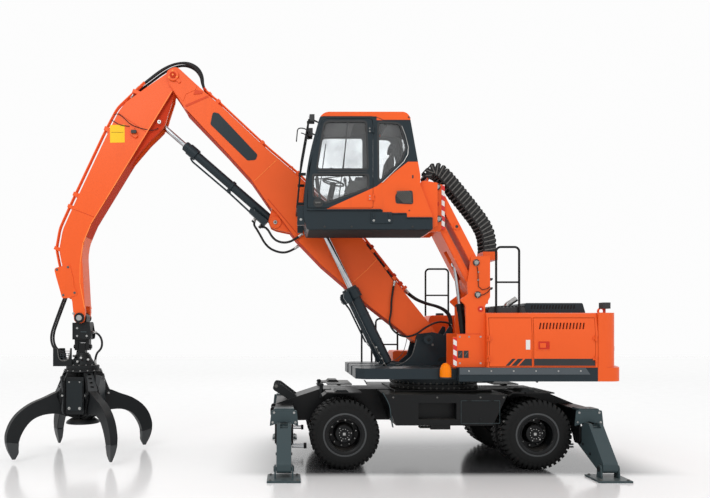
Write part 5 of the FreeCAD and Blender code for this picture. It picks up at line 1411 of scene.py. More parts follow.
def make_boom_side(work, out):
    tip, y = BOOM_LENGTH, BOOM_SIDE * out
    place, way = boom_face(y - 0.001 * out), SIDE * out
    # doublers at the fork and its ear, the two darker orange patches there painted shade, and the seams of
    # the box as lines of painted highlight and of darker red
    work.prism([(5.535, -0.192), (5.395, 0.182), (5.362, 0.182), (5.50, -0.205)], place, 0.006 * out, shaded)
    work.prism([(5.565, 0.03), (5.60, 0.105), (5.50, 0.165), (5.475, 0.14)], place, 0.011 * out, shaded)
    work.prism([(5.60, -0.17), (5.66, -0.06, 0.05), (5.60, 0.10, 0.04), (5.62, 0.155),
                (tip + 0.09, 0.135, 0.11),
                (tip + 0.135, -0.055, 0.11), (tip - 0.07, -0.135, 0.1), (5.74, -0.172)], place, 0.009 * out)
    strip(work, place, [(3.838, 0.27), (3.843, -0.235)], 0.008, 0.005 * out, highlight_orange)
    strip(work, place, [(1.512, 0.33), (1.50, 0.094), (1.517, -0.33)], 0.008, 0.005 * out, highlight_orange)
    strip(work, place, [(3.473, -0.279), (3.09, -0.301), (2.673, -0.329), (2.62, -0.392)], 0.010, 0.004 * out,
          shaded_red)
    # pin of the arm, its middle ring in darker red as painted shade, its cap and bolts in brighter orange as
    # painted highlight
    work.discs(up(tip, 0, y), way, (0.02, 0.042, 0.092, 36, None, 0.005),
               (0.04, 0.054, 0.052, 30, shaded_red, 0.003),
               (0.05, 0.066, 0.016, 16, highlight_orange, 0.002))
    along, square = up(1, 0) - up(0, 0), up(0, 1) - up(0, 0)
    for spot in circle(up(tip, 0, y + 0.042 * out), along, square, 0.072, 3, 0.7):
        work.bolt(spot, way, 0.013, highlight_orange)
    work.prism([(tip - 0.16, -0.02, 0.015), (tip - 0.07, -0.02), (tip - 0.07, 0.03),
                (tip - 0.16, 0.03, 0.015)],
               boom_face(y), 0.028 * out)
    # base pin of the arm cylinder
    eye = up(*ARM_CYLINDER_BASE, 0.132 * out)
    work.discs(eye, way, (0, 0.014, 0.10, 36, orange, 0.004), (0.012, 0.03, 0.034, 24, bare, 0.004))
    work.bolt(eye + way * 0.03, way, 0.013, trim)
    work.prism([(3.135, -0.41), (3.205, -0.385, 0.01), (3.215, -0.43, 0.01), (3.135, -0.455)],
               boom_face(0.13 * out), 0.018 * out)


def make_boom_details():
    work = Piece("boom_fittings", "boom", "orange_paint", orange, 0.003)
    for out in BOTH_SIDES:
        make_boom_side(work, out)
    # pipes on the top, with their clamps and brackets; the pipes' end nuts and the clamps nearer the foot in
    # darker red as painted shade
    route = ((5.50, 0.236), (5.318, 0.25), (5.22, 0.262), (4.257, 0.315), (4.047, 0.33), (3.437, 0.395),
             (1.90, 0.445), (1.10, 0.365), (0.86, 0.345))
    for y in (-0.15, -0.10, 0.10, 0.15):
        work.rail([up(s, t, y) for s, t in route], 0.015, 0.06, 12, orange)
        nut = up(*route[0], y)
        work.rod(nut, nut + Vector(BOOM_WAY) * 0.05, 0.024, 6, shaded_red, chamfer=0.003)
    for s, t in ((5.22, 0.262), (4.22, 0.316), (3.44, 0.394), (2.6, 0.418), (1.72, 0.428), (1.12, 0.366),
                 (0.95, 0.352)):
        pipe_clamp(work, boom_face, s, t, 0.03, 0.07, 0.027, 0.01, (-0.18, 0.07), 0.11,
                   shaded_red if s < 2 else orange)
        for y in (-0.125, 0.125):
            work.bolt(up(s, t + 0.027, y), up(0, 1) - up(0, 0), 0.011, bare)
    # lifting eye
    eye = circle(up(3.605, 0.376, -0.03), up(1, 0) - up(0, 0), up(0, 1) - up(0, 0), 0.038, 20)
    work.wire(eye + eye[:1], 0.009, 10)
    work.box_at(up(3.605, 0.33, -0.045), (0, 0, 0), (0.03, 0.03, 0.03))
    # long bracket for the foot's pipes, on the near side, in darker red as painted shade, with a black strip
    # of painted shadow along it
    work.prism([(1.86, 0.395), (1.84, 0.43, 0.01), (1.02, 0.33, 0.02), (1.02, 0.29)], boom_face(-0.175), 0.01,
               shaded_red)
    strip(work, boom_face(-0.226), [(1.80, 0.385), (1.44, 0.345), (1.06, 0.298)], 0.03, -0.004, shade_black)
    for s, t in ((1.66, 0.377), (1.30, 0.338), (1.09, 0.315)):
        work.prism([(s - 0.035, t - 0.02), (s - 0.03, t + 0.035, 0.01), (s + 0.03, t + 0.035, 0.01),
                    (s + 0.035, t - 0.02)],
                   boom_face(-0.226), -0.02, orange)
    work.make()

    plates = Piece("boom_name_plates", "boom", "slate_paint", slate, 0.004)
    outline = [(5.055, 0.112, 0.04), (4.115, 0.104, 0.05), (4.078, 0.02, 0.05), (4.165, -0.084, 0.05),
               (5.02, -0.112, 0.05), (5.14, 0.06, 0.06)]
    for out in BOTH_SIDES:
        plates.prism(outline, boom_face((BOOM_SIDE + 0.001) * out), SKIN * out)
    plates.make()

    # plain under side of the box, out of the light, painted in darker red as painted shade
    under = Piece("boom_bottom_flange", "boom", "orange_paint", shaded_red, 0.002)
    for line in ([(BOOM_LENGTH - 0.53, -0.238), (4.516, -0.238), (3.902, -0.2555), (3.345, -0.3465)],
                 [(3.10, -0.345), (2.68, -0.40), (2.06, -0.399), (1.15, -0.31), (0.25, -0.182)]):
        add_flange(under, boom_face(-0.222), line, 0.444)
    under.make()

    # hose that drops down the near side of the boom to the bracket
    line = smooth_line([up(1.05, 0.29, -0.243), up(0.96, 0.16, -0.262), up(0.86, 0.03, -0.262),
                        up(0.72, -0.11, -0.265),
                        W(-0.79, -0.30, 2.21), W(-0.70, -0.32, 2.06), W(-0.53, -0.32, 1.98),
                        W(-0.35, -0.32, 2.02),
                        W(-0.19, -0.34, 2.15), W(0.0, -0.34, 2.235), W(0.14, -0.26, 2.23),
                        W(0.26, -0.14, 2.2), W(0.29, -0.095, 2.12)])
    hose_span("boom_side_hose", line, 0.016)


def make_arm_side(work, out):
    end, y, way = ARM_LENGTH, ARM_SIDE * out, SIDE * out
    place = arm_face(y - 0.001 * out)
    # the side plates' inner edges as a strip of painted highlight, and the seams as thin darker red lines
    edge = [(0.24, -0.058), (2.306, 0.309), (2.757, 0.39), (3.10, 0.397), (3.42, 0.325), (3.75, 0.20),
            (4.10, -0.02)]
    strip(work, place, edge, 0.013, 0.006 * out, highlight_orange)
    for seam in ([(2.642, 0.75), (2.642, 0.372)], [(0.891, 0.635), (1.021, 0.085)]):
        strip(work, place, seam, 0.006, 0.003 * out, shaded_red)
    # clamp plate near the lower end
    work.prism([(3.51, 0.47, 0.04), (3.672, 0.69, 0.05), (3.80, 0.60, 0.03), (3.93, 0.50, 0.03),
                (4.085, 0.385, 0.04),
                (4.04, 0.28, 0.05), (3.93, 0.165, 0.04), (3.84, 0.27, 0.07), (3.72, 0.325, 0.04),
                (3.62, 0.40, 0.07)],
               place, 0.011 * out)
    for s, t in ((3.57, 0.48), (3.675, 0.635), (4.03, 0.385), (3.925, 0.225)):
        work.bolt(down(s, t, y + 0.011 * out), way, 0.014, trim)
    # side of the lug in darker red as painted shade, and the pin of the arm cylinder's rod in it, its ring in
    # the same painted shade
    work.prism([(0.20, -0.058), (0.33, -0.106, 0.06), (0.60, -0.122, 0.06), (0.771, -0.137, 0.06),
                (0.865, -0.118, 0.06), (1.155, 0.012, 0.3), (1.62, 0.178), (1.50, 0.16), (0.80, 0.03)],
               arm_face(0.127 * out), 0.004 * out, shaded_red)
    work.discs(down(*ARM_CYLINDER_EYE, 0.132 * out), way, (0, 0.01, 0.062, 30, shaded_red, 0.003),
               (0.008, 0.026, 0.034, 24, bare, 0.004), (0.024, 0.03, 0.012, 12, moulded, 0))
    # pin at the end of the arm
    work.discs(down(end, 0, y + 0.012 * out), way, (0, 0.012, 0.085, 32, cast, 0.004),
               (0.01, 0.028, 0.048, 24, bare, 0.005))
    work.bolt(down(end - 0.03, 0.12, y + 0.004 * out), way, 0.014, bare)


def make_arm_details():
    work = Piece("arm_fittings", "arm", "orange_paint", orange, 0.003)
    for out in BOTH_SIDES:
        make_arm_side(work, out)
    # inner flange, out of the light, painted in darker red as painted shade
    add_flange(work, arm_face(-0.184), [(1.15, 0.094), (1.66, 0.186), (2.306, 0.302), (2.755, 0.381),
                                        (3.0, 0.392)], 0.368)
    for y in (-0.184, 0.132):
        add_flange(work, arm_face(y), [(0.24, -0.069), (1.15, 0.095)], 0.052)
    for y in (-0.13, 0.086):
        add_flange(work, arm_face(y), [(0.865, -0.119), (0.96, -0.080), (1.155, 0.010), (1.38, 0.090),
                                       (1.655, 0.184)],
                   0.044, 0.005)
    # pipes down the back, with their clamps
    route = ((0.24, 0.44), (0.811, 0.705), (1.066, 0.735), (1.295, 0.758), (2.491, 0.84), (3.021, 0.868),
             (3.36, 0.80), (3.58, 0.66), (3.72, 0.56))
    for y in (-0.13, -0.07, 0.07, 0.13):
        work.rail([down(s, t, y) for s, t in route], 0.014, 0.08, 12, orange)
    for s, t, half in ((0.45, 0.535, 0.03), (1.2, 0.748, 0.035), (2.40, 0.834, 0.035), (2.62, 0.845, 0.03),
                       (3.35, 0.80, 0.03)):
        pipe_clamp(work, arm_face, s, t, half, 0.12, 0.025, 0.008, (-0.16, 0.045), 0.115, orange)
    # blank sticker, side bracket and its box
    place = arm_face(-ARM_SIDE - 0.0005)
    work.prism([(1.128, 0.692), (1.036, 0.468), (1.308, 0.358), (1.40, 0.582)], place, -0.0015, sticker)
    # thin flat black line across the sticker
    strip(work, arm_face(-ARM_SIDE - 0.002), [(1.232, 0.625), (1.16, 0.44)], 0.006, -0.001, shade_black)
    work.prism([(1.02, 0.37), (1.03, 0.30, 0.01), (1.13, 0.185, 0.02), (1.18, 0.215, 0.01),
                (1.15, 0.33, 0.01)], place,
               -0.03)
    work.box_at(down(1.135, 0.30, -0.26), (0, 0, 0), (0.085, 0.055, 0.05), moulded)
    work.make()
    wires = Piece("arm_cables", "arm", "hose_rubber", hose, 0)
    for points in (((0.948, 0.69, -0.19), (0.92, 0.655, -0.2), (0.905, 0.62, -0.2), (0.94, 0.50, -0.2),
                    (0.996, 0.387, -0.2), (1.0, 0.24, -0.2), (0.981, 0.10, -0.198), (0.95, 0.0, -0.15),
                    (0.875, -0.06, -0.14)),
                   ((1.046, 0.70, -0.19), (1.046, 0.652, -0.197), (1.07, 0.56, -0.199), (1.056, 0.46, -0.199),
                    (1.03, 0.38, -0.199))):
        wires.wire(smooth_line([down(s, t, y) for s, t, y in points]), 0.006, 8, hose)
    wires.make()


def make_arm_cylinder_details():
    base = up(*ARM_CYLINDER_BASE)
    way = (down(*ARM_CYLINDER_EYE) - base).normalized()
    square = Vector((-way.z, 0, way.x))
    below = -square if square.z > 0 else square
    work = Piece("arm_cylinder_fittings", "arm_cylinder_barrel", "slate_paint", slate, 0.004)
    work.discs(base, way, (1.74, 1.92, 0.098, 36, slate, 0.006), (1.90, 2.0, 0.083, 36, slate, 0.006),
               (1.985, 2.012, 0.062, 36, bare, 0.004), (0.93, 0.99, 0.088, 36, slate, 0.006))
    for spot in circle(base + way * 2.0, SIDE, square, 0.066, 8):
        work.bolt(spot, way, 0.011, trim)
    work.box_at(base + way * 0.95 + below * 0.095, (-0.03, -0.03, -0.03), (0.03, 0.03, 0.03), slate)
    # line under the barrel, ports and the valve block at the base
    line = [base + way * s + below * r for s, r in ((1.8, 0.10), (1.74, 0.125), (0.95, 0.118), (0.45, 0.135),
                                                    (0.30, 0.15))]
    work.rail(line, 0.016, 0.05, 12, slate)
    block = frame_at(base + way * 0.27 + below * 0.115 - SIDE * 0.07, way, square)
    work.prism([(-0.17, -0.05, 0.01), (-0.17, 0.06, 0.01), (0.17, 0.05, 0.01), (0.19, -0.03, 0.01)], block,
               0.14, slate)
    for s in (0.16, 0.31):
        work.discs(base + way * s + below * 0.15, below, (0, 0.06, 0.034, 6, bare, 0.004),
                   (0.05, 0.085, 0.026, 20, cast, 0.003))
    for s, r in ((0.40, 0.08), (0.36, 0.13), (0.12, 0.10)):
        work.bolt(base + way * s + below * r - SIDE * 0.072, -SIDE, 0.012, bare)
    work.make()
    for number, (s, y, points) in enumerate((
            (0.31, 0.05, ((-2.95, 0.05, 3.78), (-2.80, 0.05, 3.50), (-2.58, 0.05, 3.40), (-2.40, 0.05, 3.42),
                          (-2.26, 0.05, 3.52))),
            (0.16, -0.05, ((-2.80, -0.06, 3.83), (-2.68, -0.12, 3.60), (-2.50, -0.21, 3.53),
                           (-2.33, -0.248, 3.58), (-2.20, -0.243, 3.69))))):
        port = base + way * s + below * 0.09 + SIDE * y
        line = smooth_line([port, port + below * 0.15] + [W(*point) for point in points])
        hose_span("arm_cylinder_hose_%d" % (number + 1), line, 0.019,
                  (False, True))


def make_boom_cylinder_details():
    barrels = Piece("boom_cylinder_fittings", "boom_cylinder_barrels", "slate_paint", slate, 0.004)
    rods = Piece("boom_cylinder_rod_fittings", "boom_cylinder_rods", "chrome", cast, 0.003)
    for out in BOTH_SIDES:
        a, b = W(-0.768, 0.345 * out, 1.461), W(-1.953, 0.345 * out, 3.897)
        way = (b - a).normalized()
        front = Vector((-way.z, 0, way.x))
        front = front if front.x < 0 else -front

        def on(s, r, y=0.0):
            """A place on the barrel: s from its base, r before its axis."""
            return a + way * s + front * r + SIDE * y * out

        barrels.discs(a, way, (1.29, 1.44, 0.112, 36, slate, 0.006), (1.43, 1.478, 0.094, 36, slate, 0.006),
                      (1.47, 1.4895, 0.066, 36, moulded, 0.004), (0.98, 1.01, 0.087, 36, slate, 0.003),
                      (0.50, 0.53, 0.087, 36, slate, 0.003))
        for spot in circle(on(1.476, 0), SIDE, front, 0.076, 10):
            barrels.bolt(spot, way, 0.011, trim)
        # port block on the head and the line down the barrel
        head = frame_at(on(1.36, 0.10) - SIDE * 0.05, way, front)
        barrels.prism([(-0.10, -0.02), (0.09, -0.02), (0.09, 0.05, 0.015), (0.02, 0.09, 0.015),
                       (-0.09, 0.075, 0.02)],
                      head, 0.10, slate)
        for s, r in ((1.40, 0.17), (1.32, 0.185)):
            barrels.rod(on(s, r - 0.03), on(s, r), 0.022, 6, cast, chamfer=0.003)
        barrels.rail([on(s, r, 0.03) for s, r in ((1.28, 0.13), (1.16, 0.105), (0.62, 0.105), (0.52, 0.105))],
                     0.016, 0.04, 12, slate)
        # light grease line with its clips, and the pin's plate at the base
        line = ((0.52, 0.085), (0.46, 0.09), (0.40, 0.055), (0.32, 0.075), (0.24, 0.04), (0.15, 0.07),
                (0.08, 0.04), (0.02, 0.05))
        barrels.wire(smooth_line([on(s, r, 0.088) for s, r in line]), 0.0065, 8, trim)
        for s in (0.43, 0.33, 0.23, 0.14):
            barrels.box_at(on(s, 0.06, 0.085), (-0.012, -0.008, -0.012), (0.012, 0.008, 0.012), bare)
        barrels.discs(a, SIDE * out, (0.05, 0.056, 0.07, 32, slate, 0.003))
        rods.discs(b, SIDE * out, (0.05, 0.068, 0.062, 32, cast, 0.004),
                   (0.066, 0.076, 0.026, 20, bare, 0.003))
    barrels.make()
    rods.make()


# ================================================================ grapple
# each row: outer radius and height, inner radius and height in mm, share of the half width
BLADE = [(350, 1085, 235, 760, 1.0), (455, 1085, 300, 685, 1.0), (640, 1010, 480, 735, 1.0),
         (860, 925, 700, 725, 1.0), (1050, 800, 850, 665, 1.0), (1175, 650, 955, 560, 1.0),
         (1243, 480, 1030, 430, 0.97), (1253, 360, 1062, 320, 0.88), (1235, 250, 1068, 225, 0.70),
         (1205, 165, 1065, 150, 0.50), (1150, 52, 1108, 52, 0.16)]
BLADE_HALF, BLADE_STEPS, POINT_ROWS = 0.065, 6, 18
GRAPPLE_AXIS = W(GRAPPLE_X, 0, 0)
TINE_EYE, TINE_HINGE, GUARD_TOP = (0.40, 1.03), (0.29, 0.76), (0.165, 1.385)
CLAWS = (1, 2, 3, 4)


def through(rows, steps):
    """Rows of numbers made closer together along a curve through them."""
    out = []
    for i in range(len(rows) - 1):
        near = [rows[max(0, min(len(rows) - 1, i + k))] for k in (-1, 0, 1, 2)]
        for step in range(steps):
            t = step / steps
            out.append([0.5 * (2 * b + (c - a) * t + (2 * a - 5 * b + 4 * c - d) * t * t
                               + (3 * b - a - 3 * c + d) * t ** 3) for a, b, c, d in zip(*near)])
    return out + [list(rows[-1])]


def claw_ways(k):
    """Directions away from the grapple's axis at one claw, and across the claw."""
    hinge = AT["tine_%d" % k]
    away = Vector((hinge.x - GRAPPLE_AXIS.x, hinge.y, 0)).normalized()
    return away, Vector((-away.y, away.x, 0))


def out_at(away, radius, z):
    """A point out from the grapple's axis along a direction."""
    return GRAPPLE_AXIS + away * radius + UP * z


def add_blade(claw, rows, grow, material, away, across):
    """One stretch of a claw's box section, made wider by grow."""
    verts, faces = [], []
    for r0, z0, r1, z1, share in rows:
        half = BLADE_HALF * share + grow
        for r, z, inset in ((r0, z0, 0.0), (r1, z1, grow)):
            for side in BOTH_SIDES:
                verts.append(out_at(away, r / 1000 - inset, z / 1000) + across * half * side)
    last = 4 * (len(rows) - 1)
    for i in range(0, last, 4):
        faces += [(i, i + 1, i + 5, i + 4), (i + 1, i + 3, i + 7, i + 5), (i + 2, i, i + 4, i + 6)]
    faces += [(1, 0, 2, 3), (last, last + 1, last + 3, last + 2)]
    claw.add(verts, faces + [(i + 3, i + 2, i + 6, i + 7) for i in range(0, last, 4)], material)


def make_claw(k):
    """One claw: a box-section blade that narrows to its welded point, and its two eyes."""
    away, across = claw_ways(k)
    claw = Piece("claw_%d" % k, "tine_%d" % k, "black_paint", cast, 0.006, 2, 40)
    rows = through(BLADE, BLADE_STEPS)
    add_blade(claw, rows[:2 - POINT_ROWS], 0.0, cast, away, across)
    add_blade(claw, rows[-POINT_ROWS:], 0.004, worn_iron, away, across)
    # worn plates on the hollow side
    for near, far in zip(rows[18:-20], rows[19:-19]):
        half = BLADE_HALF * near[4] - 0.012
        a, b = [out_at(away, row[2] / 1000, row[3] / 1000) for row in (near, far)]
        normal = (b - a).cross(across).normalized()
        normal = normal if normal.z < 0 or normal.dot(away) < 0 else -normal
        verts = [p + across * half * side + normal * lift for p in (a, b) for side in BOTH_SIDES
                 for lift in (0.0, 0.005)]
        claw.add(verts, [(1, 3, 7, 5), (0, 1, 5, 4), (3, 2, 6, 7)], worn_iron)
    for place, radius in ((TINE_EYE, 0.08), (TINE_HINGE, 0.085)):
        claw.discs(out_at(away, *place), across, (-0.065, 0.065, radius, 36, cast, 0.005))
    claw.make("tine_%d" % k)


def around(radius, heading, z):
    """A point round the grapple's axis; heading in degrees."""
    angle = math.radians(heading)
    return W(GRAPPLE_X + radius * math.cos(angle), radius * math.sin(angle), z)


def make_hanger_details():
    x = GRAPPLE_X
    hanger = Piece("grapple_hanger_fittings", "grapple_hanger", "black_paint", cast, 0.004)
    plate = [(x - 0.10, 2.20, 0.02), (x - 0.115, 2.02), (x - 0.11, 1.965, 0.02), (x + 0.165, 1.945, 0.03),
             (x + 0.175, 2.02), (x + 0.14, 2.24, 0.03)]
    for out in BOTH_SIDES:
        y = 0.112 * out
        hanger.xz(plate, *sorted((y, y + 0.014 * out)), cast)
        low, high = sorted((y, y + 0.02 * out))
        hanger.box(W(x, low, 2.062), W(x + 0.10, high, 2.074), grey)
        for dx, z in ((-0.06, 2.13), (0.10, 2.0), (-0.06, 2.0)):
            hanger.bolt(W(x + dx, y + 0.014 * out, z), SIDE * out, 0.012, bare)
    hanger.rod(W(x - 0.005, 0, 1.95), W(x - 0.005, 0, 1.888), 0.088, 32, cast, chamfer=0.006)
    hanger.make()


def make_rotator_details():
    x = GRAPPLE_X
    head = Piece("rotator_fittings", "rotator_head", "black_paint", cast, 0.004)
    head.lathe([(1.72, 0), (1.72, 0.095), (1.66, 0.125), (1.60, 0.16), (1.545, 0.19), (1.52, 0.205),
                (1.52, 0)],
               GRAPPLE_AXIS, UP, 44, cast, closed=False)
    for spot in circle(W(x, 0, 1.512), Vector((1, 0, 0)), SIDE, 0.205, 12):
        head.bolt(spot, UP, 0.014, bare)
    for dx, dy, z in ((-0.09, -0.10, 1.66), (0.02, -0.135, 1.63), (0.10, -0.10, 1.60), (-0.02, -0.155, 1.57)):
        port = W(x + dx, dy, z)
        head.rod(port, port + Vector((dx * 0.3, dy * 0.5, 0.01)), 0.022, 6, bare, chamfer=0.003)
    head.rod(W(x, 0, 1.512), W(x, 0, 1.43), 0.27, 56, cast, chamfer=0.006)
    # open hose guard on the front, its sides cut in a U
    front, back, low, top = x - 0.44, x - 0.13, 1.50, 1.80
    cut = [(back - 0.02, top), (back - 0.03, 1.66), (back - 0.07, 1.60), (back - 0.13, 1.585),
           (back - 0.19, 1.60), (back - 0.225, 1.66), (back - 0.235, 1.79)]
    for y in (-0.19, 0.176):
        head.xz([(front, low), (back, low), (back, top)] + cut + [(front, 1.79)], y, y + 0.014, cast)
        # edge of the cut lighter on the near side only, a painted highlight
        head.wire(smooth_line([W(px, y, z) for px, z in cut]), 0.008, 8, trim if y < 0 else cast)
    head.box(W(front, -0.18, low), W(front + 0.014, 0.18, 1.79), cast)
    head.box(W(front, -0.18, low), W(back, 0.18, low + 0.014), cast)
    for step in range(7):
        z = low + 0.04 + step * 0.035
        head.rod(W(front + 0.006, -0.172, z), W(back - 0.02, -0.172, z), 0.005, 6, slate)
    for step in range(6):
        px = front + 0.03 + step * 0.045
        head.rod(W(px, -0.172, low + 0.01), W(px, -0.172, 1.72), 0.005, 6, slate)
    head.make()


def make_grapple_covers():
    body = Piece("grapple_covers", "grapple_body", "black_paint", cast, 0.004)
    body.rod(around(0, 0, 1.427), around(0, 0, 1.405), 0.315, 60, cast, chamfer=0.008)
    ways = [claw_ways(k)[0] for k in CLAWS]
    for heading in sorted(math.degrees(math.atan2(way.y, way.x)) % 360 for way in ways):
        middle = heading + 45
        away = (around(1, middle, 0) - around(0, 0, 0)).normalized()
        along = Vector((-away.y, away.x, 0))
        place = frame_at(around(0.315, middle, 0), along, UP)
        body.prism(rect(-0.135, 0.78, 0.135, 1.27, 0.02), place, 0.022, cover_slate)
        body.prism(rect(-0.15, 0.72, 0.15, 1.33, 0.01), place, 0.008, cast)
        for z, radius in ((0.82, 0.017), (1.25, 0.009)):
            for offset in (-0.09, 0.09):
                body.bolt(around(0.337, middle, z) + along * offset, away, radius, bare)
        # curved rib beside each cover
        body.prism([(0.0, 0.72), (0.05, 0.78, 0.02), (0.03, 0.95, 0.2), (0.045, 1.15, 0.2),
                    (0.10, 1.34, 0.02),
                    (0.0, 1.36)], frame_at(around(0.312, middle, 0) - along * 0.19, away, UP), 0.022,
                    worn_iron)
    for turn in range(16):
        body.bolt(around(0.292, turn * 22.5 + 8, 1.425), UP, 0.014, bare)
    body.lathe([(0.62, 0), (0.62, 0.20), (0.58, 0.26), (0.545, 0.275), (0.538, 0.26), (0.538, 0)],
               GRAPPLE_AXIS, UP, 48, cast, closed=False)
    body.make()


def make_cylinder_guard(k):
    """Perforated guard over one claw's cylinder, and the rod's head under it."""
    away, across = claw_ways(k)
    top = out_at(away, *GUARD_TOP)
    way = (out_at(away, *TINE_EYE) - top).normalized()
    normal = across.cross(way)
    normal = normal if normal.dot(away) > 0 else -normal
    guard = Piece("tine_cylinder_guard_%d" % k, "tine_rod_%d" % k, "black_paint", worn_iron, 0.003)
    guard.discs(top, way, (0.05, 0.27, 0.05, 28, cast, 0.004), (0.26, 0.285, 0.043, 28, bare, 0.003))
    place = frame_at(top + normal * 0.062 - way * 0.01, way, across)
    outer = [(0.0, -0.075, 0.02), (0.40, -0.075, 0.03), (0.40, 0.075, 0.03), (0.0, 0.075, 0.02)]
    holes = [round_off(rect(s - 0.018, -0.03, s + 0.018, 0.03, 0.017)) for s in (0.08, 0.16, 0.24, 0.32)]
    pierced(guard, outer, holes, place, 0.012 if place.col[2].to_3d().dot(normal) > 0 else -0.012)
    for out in BOTH_SIDES:
        flank = frame_at(top + across * 0.069 * out + normal * 0.01, way, normal)
        guard.prism([(0.0, 0.0), (0.06, -0.02), (0.34, -0.02), (0.39, 0.0), (0.39, 0.055), (0.0, 0.055)],
                    flank, 0.006)
    guard.make()


def make_tine_details(k):
    away, across = claw_ways(k)
    tine = Piece("tine_fittings_%d" % k, "tine_%d" % k, "black_paint", cast, 0.003)
    for out in BOTH_SIDES:
        tine.discs(out_at(away, *TINE_EYE), across * out, (0.1, 0.12, 0.048, 24, cast, 0.003),
                   (0.118, 0.132, 0.02, 6, bare, 0.002))
        tine.discs(out_at(away, *TINE_HINGE), across * out, (0.105, 0.123, 0.05, 24, cast, 0.003),
                   (0.121, 0.133, 0.02, 6, bare, 0.002))
    tine.make()


# ================================================================ undercarriage
def add_box_details(work, side):
    """Splash plate, door, steps and fenders on one side; points are given for the side at positive y."""
    def at(x, y, z):
        return W(x, y * side, z)

    def span(a, b):
        return sorted((a * side, b * side))

    # curved splash plate beside the box, with a rolled lighter edge
    curve = [(-1.02, 1.165), (-0.95, 1.06), (-0.905, 0.93), (-0.89, 0.78), (-0.865, 0.64)]
    work.xz(curve + [(x + 0.010, z) for x, z in reversed(curve)], *span(1.125, 1.235), black)
    work.wire(smooth_line([at(x - 0.002, 1.238, z) for x, z in curve]), 0.007, 8, grey)
    # door outline, hinges and catch on the box
    y = 1.2315
    line = [(0.16, 0.70), (0.16, 1.04), (0.74, 1.04), (0.74, 0.70), (0.16, 0.70)]
    for (x0, z0), (x1, z1) in zip(line, line[1:]):
        work.rod(at(x0, y, z0), at(x1, y, z1), 0.0035, 6, grey)
    for x in (0.28, 0.62):
        work.rod(at(x - 0.03, y + 0.004, 1.04), at(x + 0.03, y + 0.004, 1.04), 0.008, 10, cast)
    work.rod(at(0.45, y - 0.001, 0.76), at(0.45, y + 0.008, 0.76), 0.018, 20, cast, chamfer=0.002)
    for x, z in ((-0.86, 1.09), (-0.2, 1.09), (0.45, 1.09), (0.80, 1.09), (0.80, 0.73)):
        work.bolt(at(x, y, z), SIDE * side, 0.010, trim)
    # fold-out foot plate with teeth, and a hose bundle inside the step
    low, high = span(1.10, 1.24)
    work.box(W(-0.46, low, 0.628), W(-0.12, high, 0.648), black)
    for step in range(12):
        x = -0.48 + step * 0.046
        work.box(W(x, low, 0.668), W(x + 0.022, high, 0.682), black)
    low, high = span(0.86, 1.02)
    work.box(W(-0.46, low, 0.69), W(-0.24, high, 0.765), grey)
    # fender flats over the wheels
    low, high = span(0.80, 1.20)
    z = 1.165
    for x0, x1 in ((-1.86, -1.45), (0.94, 1.40)):
        work.xz([(x0, z - 0.012), (x0 - 0.06, z - 0.06), (x0 - 0.052, z - 0.066), (x0 + 0.006, z - 0.02),
                 (x1, z - 0.02), (x1, z - 0.006), (x1, z), (x0, z)], low, high, black)
        work.xz([(x0 + 0.12, z - 0.001), (x0 + 0.16, z + 0.035, 0.01), (x0 + 0.30, z + 0.035, 0.01),
                 (x0 + 0.34, z - 0.001)], low, high, cast)
    work.discs(at(-1.90, 0.42, 1.0), UP, (0, 0.24, 0.03, 16, cast, 0.005),
               (0.20, 0.225, 0.042, 16, cast, 0.004))


def add_stabiliser_hood(work, end, side, way):
    """Hood over one stabiliser, and its cylinder's bars; end is its x, way points to the middle."""
    face = [(end - 0.19, 0.90, 0.02), (end + 0.19, 0.90, 0.02), (end + 0.215, 0.665, 0.01), (end, 0.735),
            (end - 0.215, 0.665, 0.01)]
    work.xz(face, *sorted((1.235 * side, 1.262 * side)), grey)
    roof = [(end - 0.155, 0.898), (end + 0.155, 0.898), (end + 0.145, 0.925, 0.01),
            (end - 0.145, 0.925, 0.01)]
    work.xz(roof, *sorted((1.0 * side, 1.25 * side)), grey)
    for x, z in ((-0.17, 0.72), (0.17, 0.72), (-0.15, 0.865), (0.15, 0.865)):
        work.bolt(W(end + x, 1.262 * side, z), SIDE * side, 0.012, bare)
    for x0, x1, z, radius, sides, material, chamfer in (
            (0.12, 0.34, 0.345, 0.014, 20, chrome, 0), (0.12, 0.34, 0.305, 0.014, 20, chrome, 0),
            (0.30, 0.345, 0.325, 0.045, 24, cast, 0.005)):
        y = 0.98 * side
        work.rod(W(end + x0 * way, y, z), W(end + x1 * way, y, z), radius, sides, material, chamfer=chamfer)


def make_leg_details(name):
    knee, foot, side = AT[name + "_leg"], AT[name + "_pad"], Vector((1, 0, 0))
    foot = Vector((knee.x, foot.y, foot.z))
    way = (foot - knee).normalized()
    leg = Piece(name + "_leg_fittings", name + "_leg", "chassis_paint", grey, 0.004)
    pad = Piece(name + "_pad_fittings", name + "_pad", "chassis_paint", cast, 0.004)
    for out in BOTH_SIDES:
        for s in (0.16, 0.42):
            leg.discs(knee + way * s, side * out, (0.108, 0.12, 0.022, 16, cast, 0.003))
        pad.discs(foot, side * out, (0.125, 0.145, 0.04, 24, cast, 0.003))
    leg.make()
    low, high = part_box(name + "_pad")
    for dx in (-0.19, 0.19):
        for y in (high.y - 0.045, low.y + 0.045):
            pad.bolt(Vector((knee.x + dx, y, low.z + 0.03)), UP, 0.016, trim)
    pad.make()


